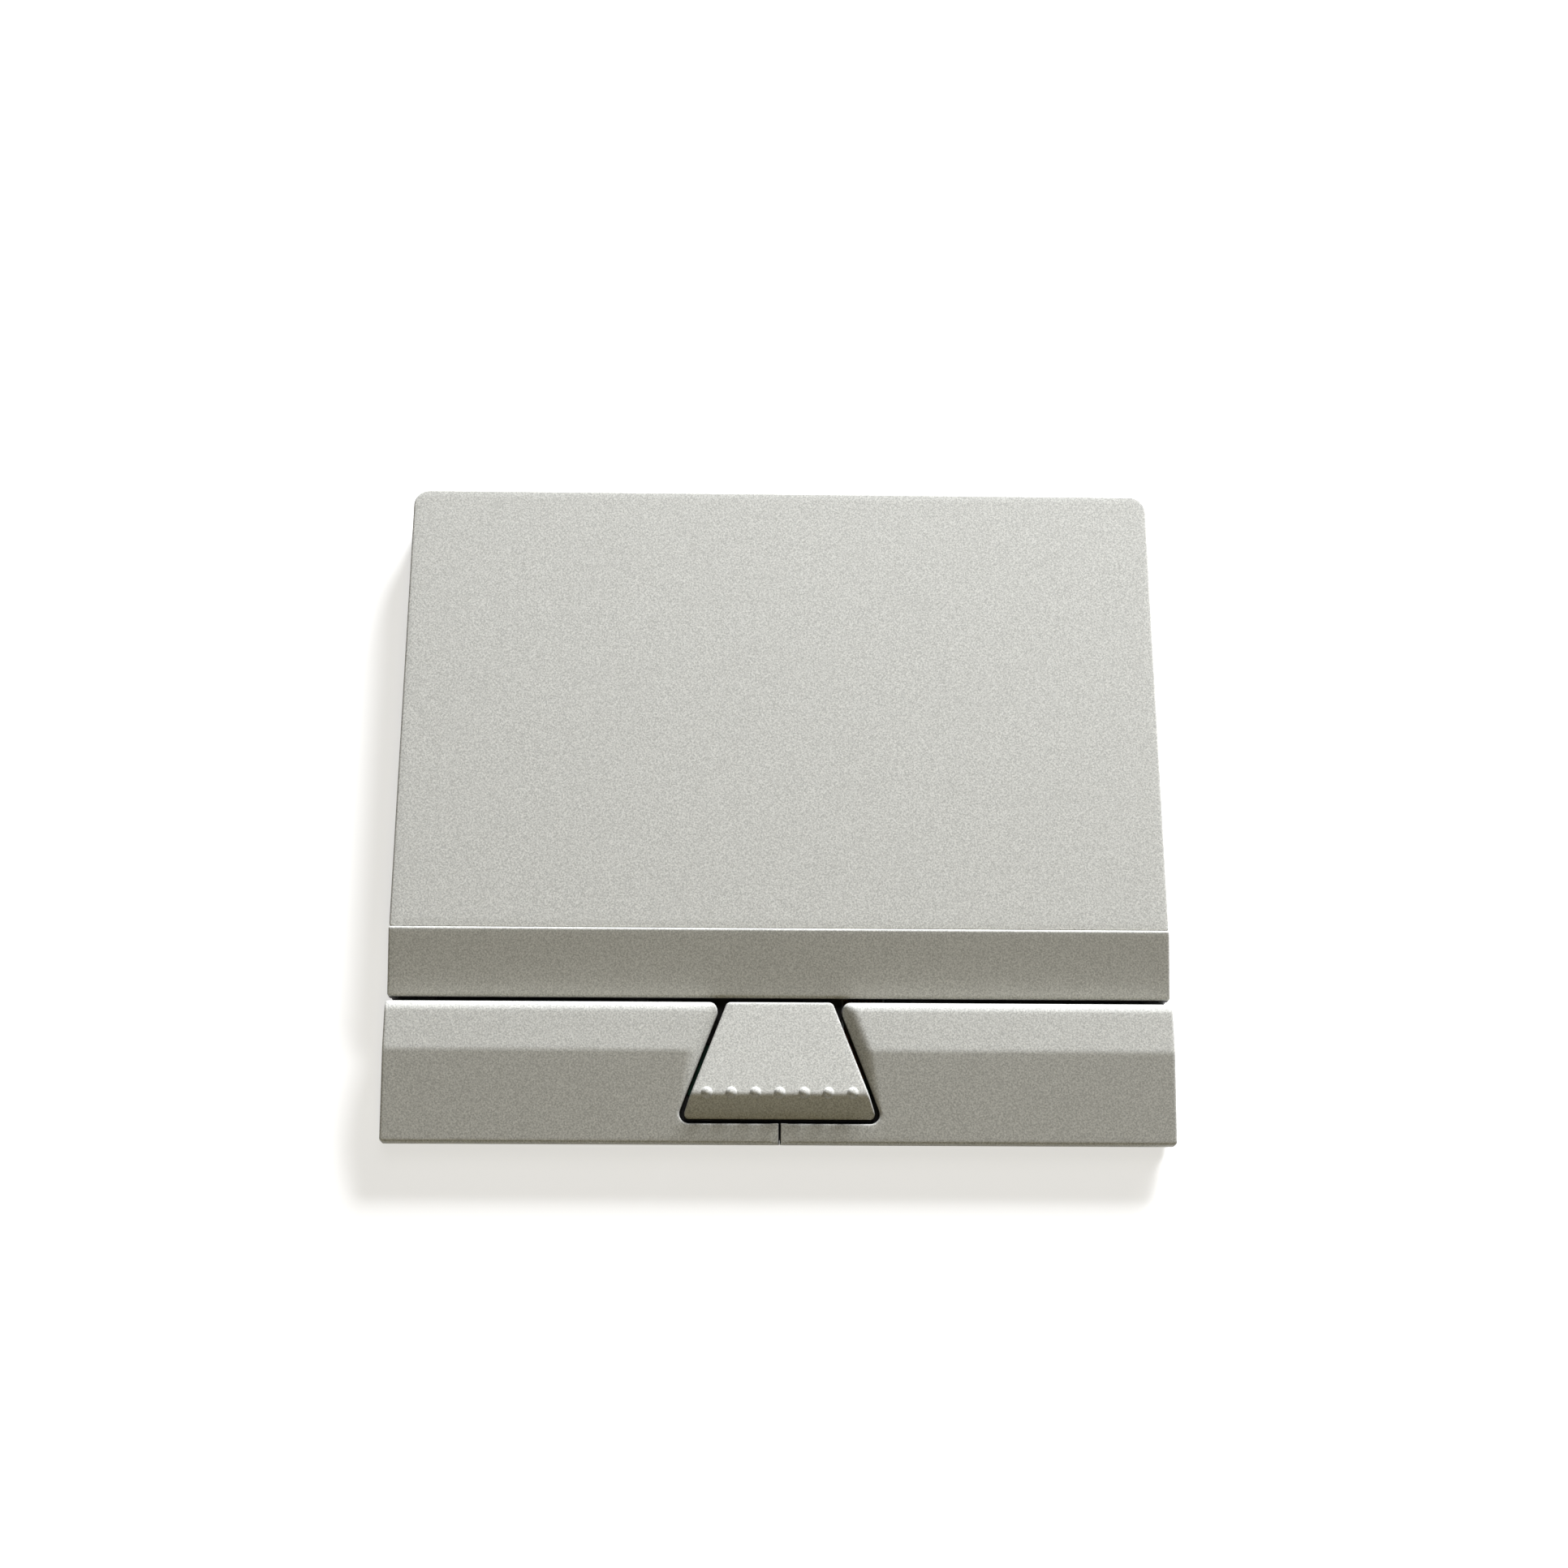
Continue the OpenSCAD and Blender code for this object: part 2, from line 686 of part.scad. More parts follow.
module connector_contacts() {
    spring_t = connector_top / 2;
    z_spring = z_board - connector_top;
    z_tip = z_spring - contact_tip;
    y_tip = connector_front + contact_step;
    y_tail = connector_back + contact_tail;
    outline = [
        [y_tip, z_tip], [y_tip + contact_step, z_tip], [y_tip + 2 * contact_step, z_spring],
        [connector_back + spring_t / 2, z_spring], [y_tail, z_board - spring_t], [y_tail, z_board],
        [connector_back, z_board], [connector_back, z_spring + spring_t],
        [y_tip + 2 * contact_step - spring_t, z_spring + spring_t]
    ];
    color("gold") for (i = [0:contact_count - 1]) {
        x_contact = (i - (contact_count - 1) / 2) * contact_pitch;
        along_x(x_contact - contact_w / 2 + contact_play, x_contact + contact_w / 2 - contact_play)
            polygon(outline);
    }
}

module connector_latch() {
    pin_half = latch_half + connector_cheek / 2;
    color("saddlebrown") {
        along_x(-latch_half, latch_half) {
            translate([connector_front, z_connector]) square([y_latch - connector_front, latch_t]);
            translate([y_latch, z_latch]) circle(latch_t / 2);
        }
        translate([-pin_half, y_latch, z_latch]) rotate([0, 90, 0])
            cylinder(r = latch_pin_r, h = 2 * pin_half);
    }
}

// Strip

function strip_z(y) = z_strip + strip_drop * (y - y_strip) / (y_ridge - y_strip);

module strip_solid(x0, x1) {
    along_x(x0, x1)
        polygon(rounded([[y_strip, z_seat], [y_ridge, z_seat], [y_ridge, z_ridge], [y_strip, z_strip]],
            [0, 0, ridge_r, edge_r]));
}

module strip_hollow(x0, x1) {
    y_leg = y_ridge - strip_leg;
    along_x(x0, x1)
        polygon([[y_strip - cut, z_seat - cut], [y_leg, z_seat - cut],
            [y_leg, strip_z(y_leg) - strip_wall], [y_strip - cut, strip_z(y_strip - cut) - strip_wall]]);
}

module front_strip() {
    rib_half = 0.4;
    rib_clear = 0.1;
    z_rib = z_hinge + trunnion_r + rib_clear;
    color("darkgray") difference() {
        union() {
            difference() {
                strip_solid(-half_w, half_w);
                strip_hollow(strip_leg - half_w, half_w - strip_leg);
            }
            intersection() {
                strip_solid(-half_w, half_w);
                union() {
                    for (p = strip_screws) {
                        post(p, strip_boss_r, z_seat, module_h);
                    }
                    // Ribs that keep the trunnions down in their saddles
                    for (x = all_arms, side = [-1, 1]) {
                        x_ear = x + side * (arm_w + ear_w) / 2;
                        block([x_ear - ear_w / 2, y_hinge - rib_half, z_rib],
                            [x_ear + ear_w / 2, y_hinge + rib_half, module_h]);
                    }
                }
            }
        }
        for (p = strip_screws) {
            post(p, pilot_r, z_seat - cut, dimple_h + rail_screw_l + drop_clear);
        }
    }
}

// Button caps

module arm_notches(arms) {
    half = arm_w / 2 + drop_clear;
    for (x = arms) {
        block([x - half, y_button - cap_wall - lever_gap, z_skirt - cut],
            [x + half, y_button + cut, z_hinge + trunnion_r + drop_clear]);
    }
}

module side_cap() {
    x_in = split_gap / 2;
    outline = [
        [x_in, y_front], [half_w, y_front], [half_w, y_button], [side_x(y_button), y_button],
        [side_x(y_bar), y_bar], [x_in, y_bar]
    ];
    profile = [
        [y_front, z_skirt], [y_button, z_skirt], [y_button, z_side], [y_crest, z_side],
        [y_front, z_side_front]
    ];
    hollow = [
        [half_w - cap_wall, y_bar], [half_w - cap_wall, y_button - cap_wall],
        [side_x(y_button - cap_wall) + cap_wall / cos(slant), y_button - cap_wall],
        [side_x(y_bar) + cap_wall / cos(slant), y_bar]
    ];
    bevel_top = module_h - z_bevel;
    difference() {
        intersection() {
            layer(z_skirt, z_side) polygon(rounded(outline, [0, outer_r, outer_r, inner_r, nook_r, 0]));
            along_x(0, half_w) polygon(rounded(profile, [0, 0, back_fillet, crest_r, edge_r]));
        }
        // Hollow under the top
        intersection() {
            layer(z_skirt - cut, z_side) polygon(hollow);
            along_x(0, half_w)
                polygon(concat([[y_front, z_skirt - cut], [y_button, z_skirt - cut]],
                    [for (i = [2:-1:0]) side_ceiling[i]]));
        }
        // Bevel that falls towards the middle button
        translate([side_x(y_bar), y_bar, 0]) rotate([0, 0, slant])
            along_y(-bar_d, button_d)
                polygon([[0, z_bevel], [bevel_top / tan(bevel_angle), module_h], [-bar_d, module_h],
                    [-bar_d, z_bevel]]);
        arm_notches(side_arms);
    }
}

module right_button_cap() {
    color("lightgray") side_cap();
}

module left_button_cap() {
    color("lightgray") mirror([1, 0, 0]) side_cap();
}

module middle_button_cap() {
    profile = [
        [y_mid_front, z_skirt], [y_button, z_skirt], [y_button, z_mid], [y_face, z_mid_edge],
        [y_mid_front, z_mid_front]
    ];
    y_in = y_button - mid_wall;
    y_in_front = y_mid_front + mid_wall;
    x_back = mid_half(y_in) - mid_wall / cos(slant);
    x_front = mid_half(y_in_front) - mid_wall / cos(slant);
    hollow = [[-x_front, y_in_front], [x_front, y_in_front], [x_back, y_in], [-x_back, y_in]];
    outline = [
        [-mid_front_w / 2, y_mid_front], [mid_front_w / 2, y_mid_front],
        [mid_back_w / 2, y_button], [-mid_back_w / 2, y_button]
    ];
    color("gainsboro") {
        difference() {
            intersection() {
                layer(z_skirt, module_h)
                    polygon(rounded(outline, [edge_r * 2, edge_r * 2, mid_back_r, mid_back_r]));
                along_x(-mid_front_w, mid_front_w)
                    polygon(rounded(profile, [0, 0, mid_fillet, edge_r, edge_r]));
            }
            intersection() {
                layer(z_skirt - cut, module_h) polygon(hollow);
                along_x(-mid_front_w, mid_front_w)
                    polygon(concat([[y_mid_front, z_skirt - cut], [y_button, z_skirt - cut]],
                        [for (i = [2:-1:0]) mid_ceiling[i]]));
            }
            arm_notches(mid_arms);
        }
        for (i = [0:bump_count - 1]) {
            x = (i - (bump_count - 1) / 2) * bump_pitch;
            translate([x, y_face + bump_sink, z_mid_edge - bump_sink]) sphere(bump_r);
        }
    }
}

// Levers: a bent plate glued under a cap, with arms, trunnions, hooks and a nub

module lever_arm(x, top) {
    web_front = y_lever - gusset_d;
    outline = [
        [y_lever - trunnion_d, z_hinge - trunnion_r], [y_hinge, z_hinge - trunnion_r],
        [y_hinge, z_hinge + trunnion_r], [y_lever, z_hinge + trunnion_r],
        [y_lever, lookup(y_lever, top) - lever_t / 2],
        [web_front, lookup(web_front, top) - lever_t / 2]
    ];
    along_x(x - arm_w / 2, x + arm_w / 2) polygon(outline);
    translate([x - arm_w / 2 - ear_w, y_hinge, z_hinge]) rotate([0, 90, 0])
        cylinder(r = trunnion_r, h = arm_w + 2 * ear_w);
}

module lever_hook(x, top) {
    z_barb = z_floor - hook_slack;
    z_top = lookup(y_hook, top) - lever_t / 4;
    outline = [
        [y_hook, z_barb - barb_h], [y_hook + hook_leg, z_barb - barb_h], [y_hook + hook_leg, z_top],
        [y_hook, z_top], [y_hook, z_barb], [y_hook - barb_d, z_barb], [y_hook - barb_d, z_barb - barb_h / 2]
    ];
    along_x(x - hook_w / 2, x + hook_w / 2) polygon(outline);
}

module lever_nub(x, top) {
    place = [x, y_switch];
    intersection() {
        union() {
            translate([x, y_switch, z_nub + nub_r]) sphere(nub_r);
            post(place, nub_r, z_nub + nub_r, module_h);
        }
        post(place, 2 * nub_r, z_nub - cut, lookup(y_switch, top) - lever_t / 2);
    }
}

module lever(x0, x1, arms, hooks, nub_x, ceiling, y_bend) {
    top = [for (p = ceiling) [p[0], p[1] - glue_gap]];
    ys = [y_hook, y_bend, y_lever];
    under = [for (y = ys) [y, lookup(y, top) - lever_t]];
    over = [for (i = [2:-1:0]) [ys[i], lookup(ys[i], top)]];
    along_x(x0, x1) polygon(concat(under, over));
    for (x = arms) {
        lever_arm(x, top);
    }
    for (x = hooks) {
        lever_hook(x, top);
    }
    lever_nub(nub_x, top);
}

module right_button_lever() {
    color("dimgray")
        lever(side_lever_in, side_lever_out, side_arms, side_hooks, switch_x, side_ceiling, y_crest);
}

module left_button_lever() {
    color("dimgray") mirror([1, 0, 0])
        lever(side_lever_in, side_lever_out, side_arms, side_hooks, switch_x, side_ceiling, y_crest);
}

module middle_button_lever() {
    color("dimgray")
        lever(-mid_lever_out, mid_lever_out, mid_arms, mid_hooks, 0, mid_ceiling, y_face);
}

// Switches

module switch_board() {
    color("darkgreen")
        block([-switch_board_x, y_switch - switch_board_y, plate_t],
            [switch_board_x, y_switch + switch_board_y, z_switch]);
}

module switch_housing(x) {
    half = switch_w / 2;
    color("black") difference() {
        block([x - half, y_switch - half, z_switch], [x + half, y_switch + half, z_cover]);
        post([x, y_switch], well_r, z_well, z_cover + cut);
    }
}

module switch_cover(x) {
    half = switch_w / 2;
    color("silver") difference() {
        block([x - half, y_switch - half, z_cover], [x + half, y_switch + half, z_cover + cover_t]);
        post([x, y_switch], stem_r + stem_clear, z_cover - cut, z_cover + cover_t + cut);
    }
}

module switch_dome(x) {
    ball_r = (dome_r * dome_r + dome_h * dome_h) / (2 * dome_h);
    centre = [x, y_switch, z_well + dome_h - ball_r];
    color("lightgray") difference() {
        intersection() {
            translate(centre) sphere(ball_r);
            post([x, y_switch], 2 * dome_r, z_well, z_cover);
        }
        translate(centre) sphere(ball_r - dome_t);
    }
}

module switch_stem(x) {
    flange_r = well_r - drop_clear;
    place = [x, y_switch];
    color("black") {
        post(place, flange_r, z_stem, z_stem + flange_h);
        post(place, stem_r, z_stem, z_stem_top);
    }
}

module left_switch_housing() {
    switch_housing(-switch_x);
}

module middle_switch_housing() {
    switch_housing(0);
}

module right_switch_housing() {
    switch_housing(switch_x);
}

module left_switch_cover() {
    switch_cover(-switch_x);
}

module middle_switch_cover() {
    switch_cover(0);
}

module right_switch_cover() {
    switch_cover(switch_x);
}

module left_switch_dome() {
    switch_dome(-switch_x);
}

module middle_switch_dome() {
    switch_dome(0);
}

module right_switch_dome() {
    switch_dome(switch_x);
}

module left_switch_stem() {
    switch_stem(-switch_x);
}

module middle_switch_stem() {
    switch_stem(0);
}

module right_switch_stem() {
    switch_stem(switch_x);
}

module switch_terminals() {
    half = switch_w / 2;
    z_leg = z_switch + leg_h;
    outline = [
        [half, z_switch], [half + leg_foot, z_switch], [half + leg_foot, z_switch + leg_t],
        [half + leg_t, z_switch + leg_t], [half + leg_t, z_leg], [half, z_leg]
    ];
    color("silver") for (x = all_switches, side = [0, 1], row = [-1, 1]) {
        translate([x, y_switch + row * leg_row, 0]) mirror([side, 0, 0])
            along_y(-leg_w / 2, leg_w / 2) polygon(outline);
    }
}

// Ribbon cable: flat on the switch board, down through its channel, and up to the sensor board

function ease(t) = t * t * (3 - 2 * t);
function ribbon_z(y) =
    let (low = plate_t + ribbon_lift, high = z_board - ribbon_t)
    let (fall = ease(min(max((y - y_ribbon_drop) / ribbon_ramp, 0), 1)))
    let (climb = ease(min(max((y - y_ribbon_climb) / ribbon_climb, 0), 1)))
    z_switch + (low - z_switch) * fall + (high - low) * climb;

module ribbon_cable() {
    steps = 12;
    ys = concat([y_ribbon_start],
        [for (i = [0:steps]) y_ribbon_drop + ribbon_ramp * i / steps],
        [for (i = [0:steps]) y_ribbon_climb + ribbon_climb * i / steps],
        [y_ribbon_climb + ribbon_climb + ribbon_pad]);
    under = [for (y = ys) [y, ribbon_z(y)]];
    over = [for (i = [len(ys) - 1:-1:0]) [ys[i], ribbon_z(ys[i]) + ribbon_t]];
    color("peru")
        along_x(ribbon_x - ribbon_w / 2, ribbon_x + ribbon_w / 2) polygon(concat(under, over));
}

// Fasteners and stops

module clinch_nuts() {
    color("goldenrod") for (p = clinch_nut_places) {
        difference() {
            union() {
                post(p, nut_shank_r, 0, plate_t + cut);
                post(p, nut_flange_r, plate_t, plate_t + nut_h);
            }
            post(p, nut_bore_r, -cut, plate_t + nut_h + cut);
        }
    }
}

module frame_screw(place, length) {
    recess = 0.6;
    slot_half = head_r * recess;
    slot_w = 0.35;
    slot_h = head_h * recess;
    translate([place[0], place[1], dimple_h]) difference() {
        union() {
            translate([0, 0, -head_h]) cylinder(r = head_r, h = head_h);
            translate([0, 0, -cut]) cylinder(r = screw_r, h = length + cut);
        }
        for (a = [0, 90]) {
            rotate([0, 0, a])
                block([-slot_half, -slot_w / 2, -head_h - cut], [slot_half, slot_w / 2, slot_h - head_h]);
        }
    }
}

module frame_screws() {
    color("gray") {
        for (p = concat(rail_screws, strip_screws)) {
            frame_screw(p, rail_screw_l);
        }
        for (p = front_screws) {
            frame_screw(p, front_screw_l);
        }
    }
}

module button_dampers() {
    color("black") for (x = damper_x) {
        post([x, y_damper], damper_r, z_floor, z_floor + damper_h);
    }
}

support_plate();
carrier_frame();
sensor_board();
surface_adhesive();
touch_surface();
touch_controller();
board_capacitors();
connector_housing();
connector_contacts();
connector_latch();
front_strip();
left_button_cap();
middle_button_cap();
right_button_cap();
left_button_lever();
middle_button_lever();
right_button_lever();
switch_board();
left_switch_housing();
middle_switch_housing();
right_switch_housing();
left_switch_cover();
middle_switch_cover();
right_switch_cover();
left_switch_dome();
middle_switch_dome();
right_switch_dome();
left_switch_stem();
middle_switch_stem();
right_switch_stem();
switch_terminals();
ribbon_cable();
clinch_nuts();
frame_screws();
button_dampers();
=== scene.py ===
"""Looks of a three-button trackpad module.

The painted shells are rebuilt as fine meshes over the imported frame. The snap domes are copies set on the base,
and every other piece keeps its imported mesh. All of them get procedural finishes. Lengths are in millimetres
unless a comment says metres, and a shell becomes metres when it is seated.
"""
import json
import math

import bpy
import numpy as np
from mathutils import Matrix, Vector
from mathutils.geometry import delaunay_2d_cdt


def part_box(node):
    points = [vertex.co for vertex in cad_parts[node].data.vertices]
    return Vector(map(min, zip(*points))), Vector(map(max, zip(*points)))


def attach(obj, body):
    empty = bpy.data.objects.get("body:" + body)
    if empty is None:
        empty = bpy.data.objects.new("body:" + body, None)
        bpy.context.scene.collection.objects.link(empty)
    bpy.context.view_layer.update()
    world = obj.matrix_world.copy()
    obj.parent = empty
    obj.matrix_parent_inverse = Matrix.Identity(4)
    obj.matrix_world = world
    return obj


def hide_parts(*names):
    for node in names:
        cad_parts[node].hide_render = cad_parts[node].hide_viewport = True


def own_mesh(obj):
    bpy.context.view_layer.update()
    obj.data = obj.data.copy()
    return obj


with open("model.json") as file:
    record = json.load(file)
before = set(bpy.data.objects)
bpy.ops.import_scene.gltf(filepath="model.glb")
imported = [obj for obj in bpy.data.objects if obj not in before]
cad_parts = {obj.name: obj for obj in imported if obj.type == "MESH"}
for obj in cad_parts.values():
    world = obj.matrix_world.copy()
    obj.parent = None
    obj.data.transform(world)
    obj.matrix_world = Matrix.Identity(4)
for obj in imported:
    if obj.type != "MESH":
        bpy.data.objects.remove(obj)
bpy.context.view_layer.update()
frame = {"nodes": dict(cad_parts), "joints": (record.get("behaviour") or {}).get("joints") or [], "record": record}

MM = 0.001


# Sizes that the frame gives

def span(node, axis):
    """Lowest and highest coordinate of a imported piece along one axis, in millimetres."""
    low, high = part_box(node)
    return low[axis] / MM, high[axis] / MM


HALF_W = span("touch_surface", 0)[1]
Y_PAD, Y_BACK = span("touch_surface", 1)
Z_OVERLAY, Z_PAD = span("touch_surface", 2)
Y_STRIP, Y_RIDGE = span("front_strip", 1)
Z_SEAT, Z_TOP = span("front_strip", 2)
X_SPLIT = span("right_button_cap", 0)[0]
Y_FRONT, Y_BUTTON = span("right_button_cap", 1)
Z_SKIRT, Z_SIDE = span("right_button_cap", 2)
Y_MID_FRONT = span("middle_button_cap", 1)[0]
SIDE_LEVER_X = span("right_button_lever", 0)
MID_LEVER_OUT = span("middle_button_lever", 0)[1]
HINGE = [value / MM for value in frame["joints"][0]["pos_m"]]

# Touch surface
PAD_CORNER_R = 2.2
PAD_FRONT_R = 0.36
PAD_EDGE_R = 0.3
PAD_SEAM_R = 0.08

# Strip
STRIP_DROP = 2.2
STRIP_WALL = 0.8
STRIP_LEG = 1.2
RIDGE_R = 0.35
STRIP_FRONT_R = 0.3
STRIP_END_R = 0.25
STRIP_CORNER_R = 0.36
STRIP_SCREW_X = 30
STRIP_SCREW_IN = 2.2
STRIP_BOSS_R = 1.7
PILOT_R = 0.82
PILOT_TOP = 3.7
HINGE_RIB_HALF = 0.4
HINGE_RIB_CLEAR = 0.1

# Side buttons
CREST_D = 6.5
CREST_R = 4
BUTTON_DROP = 2.1
BACK_FILLET = 1.5
CAP_WALL = 1.2
BAR_D = 2.45
INNER_R = 1.3
NOOK_R = 1.2
OUTER_R = 0.5
SPLIT_CORNER_R = 0.1
BEVEL_DROP = 1.05
BEVEL_SLOPE = math.tan(math.radians(41))
BEVEL_BLEND = 0.65
BEVEL_START = 0.1
BEVEL_STEP = 0.15
BEVEL_REACH = 2.6
SIDE_EDGE_R = 0.3
GAP_EDGE_R = 0.3
SPLIT_EDGE_R = 0.09
SPLIT_FOOT_X = 0.02

# Middle button
MID_BACK_W = 13.4
MID_FRONT_W = 24.5
MID_GAP = 0.6
MID_SINK = 1.3
MID_RISE = 0.7
MID_WALL = 1
FACE_D = 2.75
FACE_DROP = 1.8
FACE_EDGE_R = 1.3
MID_BACK_R = 0.8
MID_FRONT_R = 0.6
MID_BACK_EDGE_R = 0.45
MID_EDGE_R = 0.3
MID_FRONT_EDGE_R = 0.14
BUMP_COUNT = 7
BUMP_PITCH = 3.05
BUMP_R = 0.74
BUMP_SINK = 0.28
BUMP_BLEND = 0.08
BUMP_SIDES = 28
BUMP_RING_STEP = 10
BUMP_FOOT = (0.03, 0.08, 0.15, 0.25)
BUMP_CLEAR = 0.35

# Levers under the caps
ARM_W = 2.4
EAR_W = 1.2
ARM_MARGIN = 0.8
TRUNNION_R = 0.6
NOTCH_CLEAR = 0.2
LEVER_GAP = 0.5

# Fineness of the meshes
ARC_STEPS = 14
EDGE_LOOPS = 6
EDGE_STEP = 0.5
ROW_STEP = 0.6
COLUMN_STEP = 1.2
SAMPLE_MARGIN = 0.012
LEAST_EDGE_R = 0.012
EDGE_BLEND = 0.5
POST_SIDES = 40
CUT = 0.05
TINY = 1e-6
SMOOTH_ANGLE = math.radians(32)

# Places that follow from those sizes
Y_CREST = Y_BUTTON - CREST_D
Y_BAR = Y_FRONT + BAR_D
Y_FACE = Y_MID_FRONT + FACE_D
Z_MID = Z_TOP - MID_SINK
Z_MID_EDGE = Z_MID + MID_RISE
Z_BEVEL = Z_SIDE - BEVEL_DROP
SLANT = math.atan((MID_FRONT_W - MID_BACK_W) / 2 / (Y_BUTTON - Y_MID_FRONT))
STRIP_ANGLE = math.atan(STRIP_DROP / (Y_RIDGE - Y_STRIP))
Z_RIDGE = Z_TOP + RIDGE_R * (math.tan(STRIP_ANGLE) + 1 / math.cos(STRIP_ANGLE) - 1)
ARM_INSET = ARM_W / 2 + EAR_W + ARM_MARGIN
SIDE_ARMS = (SIDE_LEVER_X[0] + ARM_INSET, SIDE_LEVER_X[1] - ARM_INSET)
MID_ARM = MID_LEVER_OUT - EAR_W - ARM_W / 2
MID_ARMS = (-MID_ARM, MID_ARM)


def mid_half(y):
    """Half width of the middle button at one place from front to back."""
    return MID_BACK_W / 2 + (Y_BUTTON - y) * math.tan(SLANT)


def side_x(y):
    """Where a side button's slanted inner wall stands."""
    return mid_half(y) + MID_GAP / math.cos(SLANT)


# Outlines and profiles

def unit(v):
    return v / np.linalg.norm(v)


def arc(before, here, after, radius):
    """Points of the arc that rounds the middle one of three corners."""
    here = np.array(here, float)
    u, v = unit(np.array(before) - here), unit(np.array(after) - here)
    half = math.acos(np.clip(u @ v, -1, 1)) / 2
    if radius == 0 or half > math.pi / 2 - TINY:
        return [here]
    centre = here + unit(u + v) * radius / math.sin(half)
    start = here + u * radius / math.tan(half) - centre
    sweep = -math.copysign(math.pi - 2 * half, u[0] * v[1] - u[1] * v[0])
    turns = np.linspace(0, sweep, ARC_STEPS + 1)
    return [centre + np.array([start[0] * math.cos(a) - start[1] * math.sin(a),
                               start[0] * math.sin(a) + start[1] * math.cos(a)]) for a in turns]


def closed_outline(corners):
    """Points round a closed outline of corners (x, y, radius), with long runs cut into steps."""
    count = len(corners)
    points = []
    for i, (x, y, radius) in enumerate(corners):
        points += arc(corners[i - 1][:2], (x, y), corners[(i + 1) % count][:2], radius)
    fine = []
    for here, ahead in zip(points, points[1:] + points[:1]):
        pieces = max(1, math.ceil(np.linalg.norm(ahead - here) / EDGE_STEP))
        fine += [here + (ahead - here) * k / pieces for k in range(pieces)]
    return np.array(fine)


def profile(corners):
    """A line of corners (y, z, radius) from front to back, as rising y values and their heights."""
    points = [np.array(corners[0][:2], float)]
    for before, here, after in zip(corners, corners[1:], corners[2:]):
        points += arc(before[:2], here[:2], after[:2], here[2])
    points.append(np.array(corners[-1][:2], float))
    return np.array(points).T


def soft_min(a, b, blend):
    """The lower of two heights, rounded over where they cross."""
    near = np.maximum(blend - np.abs(a - b), 0) / blend
    return np.minimum(a, b) - near * near * blend / 4


def soft_max(a, b, blend):
    """The higher of two heights, rounded in where they cross."""
    return -soft_min(-a, -b, blend)


# Meshes

def inward(outline):
    """Inward offset directions of a counter-clockwise outline, longer at corners to keep sides parallel."""
    ahead = np.roll(outline, -1, axis=0) - outline
    ahead /= np.linalg.norm(ahead, axis=1)[:, None]
    normal = np.stack([-ahead[:, 1], ahead[:, 0]], axis=1)
    both = normal + np.roll(normal, 1, axis=0)
    return both / ((both ** 2).sum(axis=1) / 2)[:, None]


def inside(points, loop, margin):
    """Those of some points that lie inside a loop and at least a margin away from it."""
    here, ahead = loop, np.roll(loop, -1, axis=0)
    along = ahead - here
    x, y = points[:, :1], points[:, 1:]
    crossed = (here[:, 1] > y) != (ahead[:, 1] > y)
    rise = np.where(along[:, 1] == 0, 1, along[:, 1])
    odd = (crossed & (x < here[:, 0] + (y - here[:, 1]) / rise * along[:, 0])).sum(axis=1) % 2 == 1
    share = ((points[:, None] - here) * along).sum(axis=2) / (along ** 2).sum(axis=1)
    nearest = here + np.clip(share, 0, 1)[..., None] * along
    gap = np.linalg.norm(points[:, None] - nearest, axis=2).min(axis=1)
    return points[odd & (gap > margin)]


def fill(loop, samples):
    """Triangles inside a loop. The loop's points are numbered first, and then the samples."""
    count = len(loop)
    points = [Vector(p) for p in loop] + [Vector(p) for p in samples]
    edges = [(i, (i + 1) % count) for i in range(count)]
    _, _, faces, origin, _, _ = delaunay_2d_cdt(points, edges, [], 1, TINY)
    return [[origin[i][0] for i in face] for face in faces]


def make_object(name, points, faces):
    mesh = bpy.data.meshes.new(name)
    mesh.from_pydata([tuple(p) for p in points], [], faces)
    mesh.update()
    made = bpy.data.objects.new(name, mesh)
    bpy.context.scene.collection.objects.link(made)
    return made


def shell(name, outline, edge_r, height, base, samples, painted=lambda x, y: True, foot=None):
    """A closed solid over an outline: walls, an edge rounded by its own radius at each point, and a top.

    Walls that are not painted take the second material, and so does the bottom. That material is dark bare
    plastic, and on the walls that face the gaps it is painted shade. Where the walls lean, the foot is the outline
    at the bottom."""
    foot = outline if foot is None else foot
    count = len(outline)
    direction = inward(outline)
    rings = [np.column_stack([foot, np.full(count, base)])]
    for turn in np.linspace(0, math.pi / 2, EDGE_LOOPS + 1):
        plan = outline + direction * (edge_r * (1 - math.cos(turn)))[:, None]
        rings.append(np.column_stack([plan, height(plan) - edge_r * (1 - math.sin(turn))]))
    loop = rings[-1][:, :2]
    kept = inside(np.array(samples, float), loop, SAMPLE_MARGIN)
    points = np.vstack([*rings, np.column_stack([kept, height(kept)])])
    faces = [face[::-1] for face in fill(foot, [])]
    below = len(faces)
    for k in range(len(rings) - 1):
        for i in range(count):
            j = (i + 1) % count
            faces.append([k * count + i, k * count + j, (k + 1) * count + j, (k + 1) * count + i])
    last = (len(rings) - 1) * count
    faces += [[last + i for i in face] for face in fill(loop, kept)]
    piece = make_object(name, points, faces)
    bare_or_gap_shade = [1] * below + [0 if painted(*p) else 1 for p in outline]
    piece.data.polygons.foreach_set("material_index", bare_or_gap_shade + [0] * (len(faces) - len(bare_or_gap_shade)))
    return piece


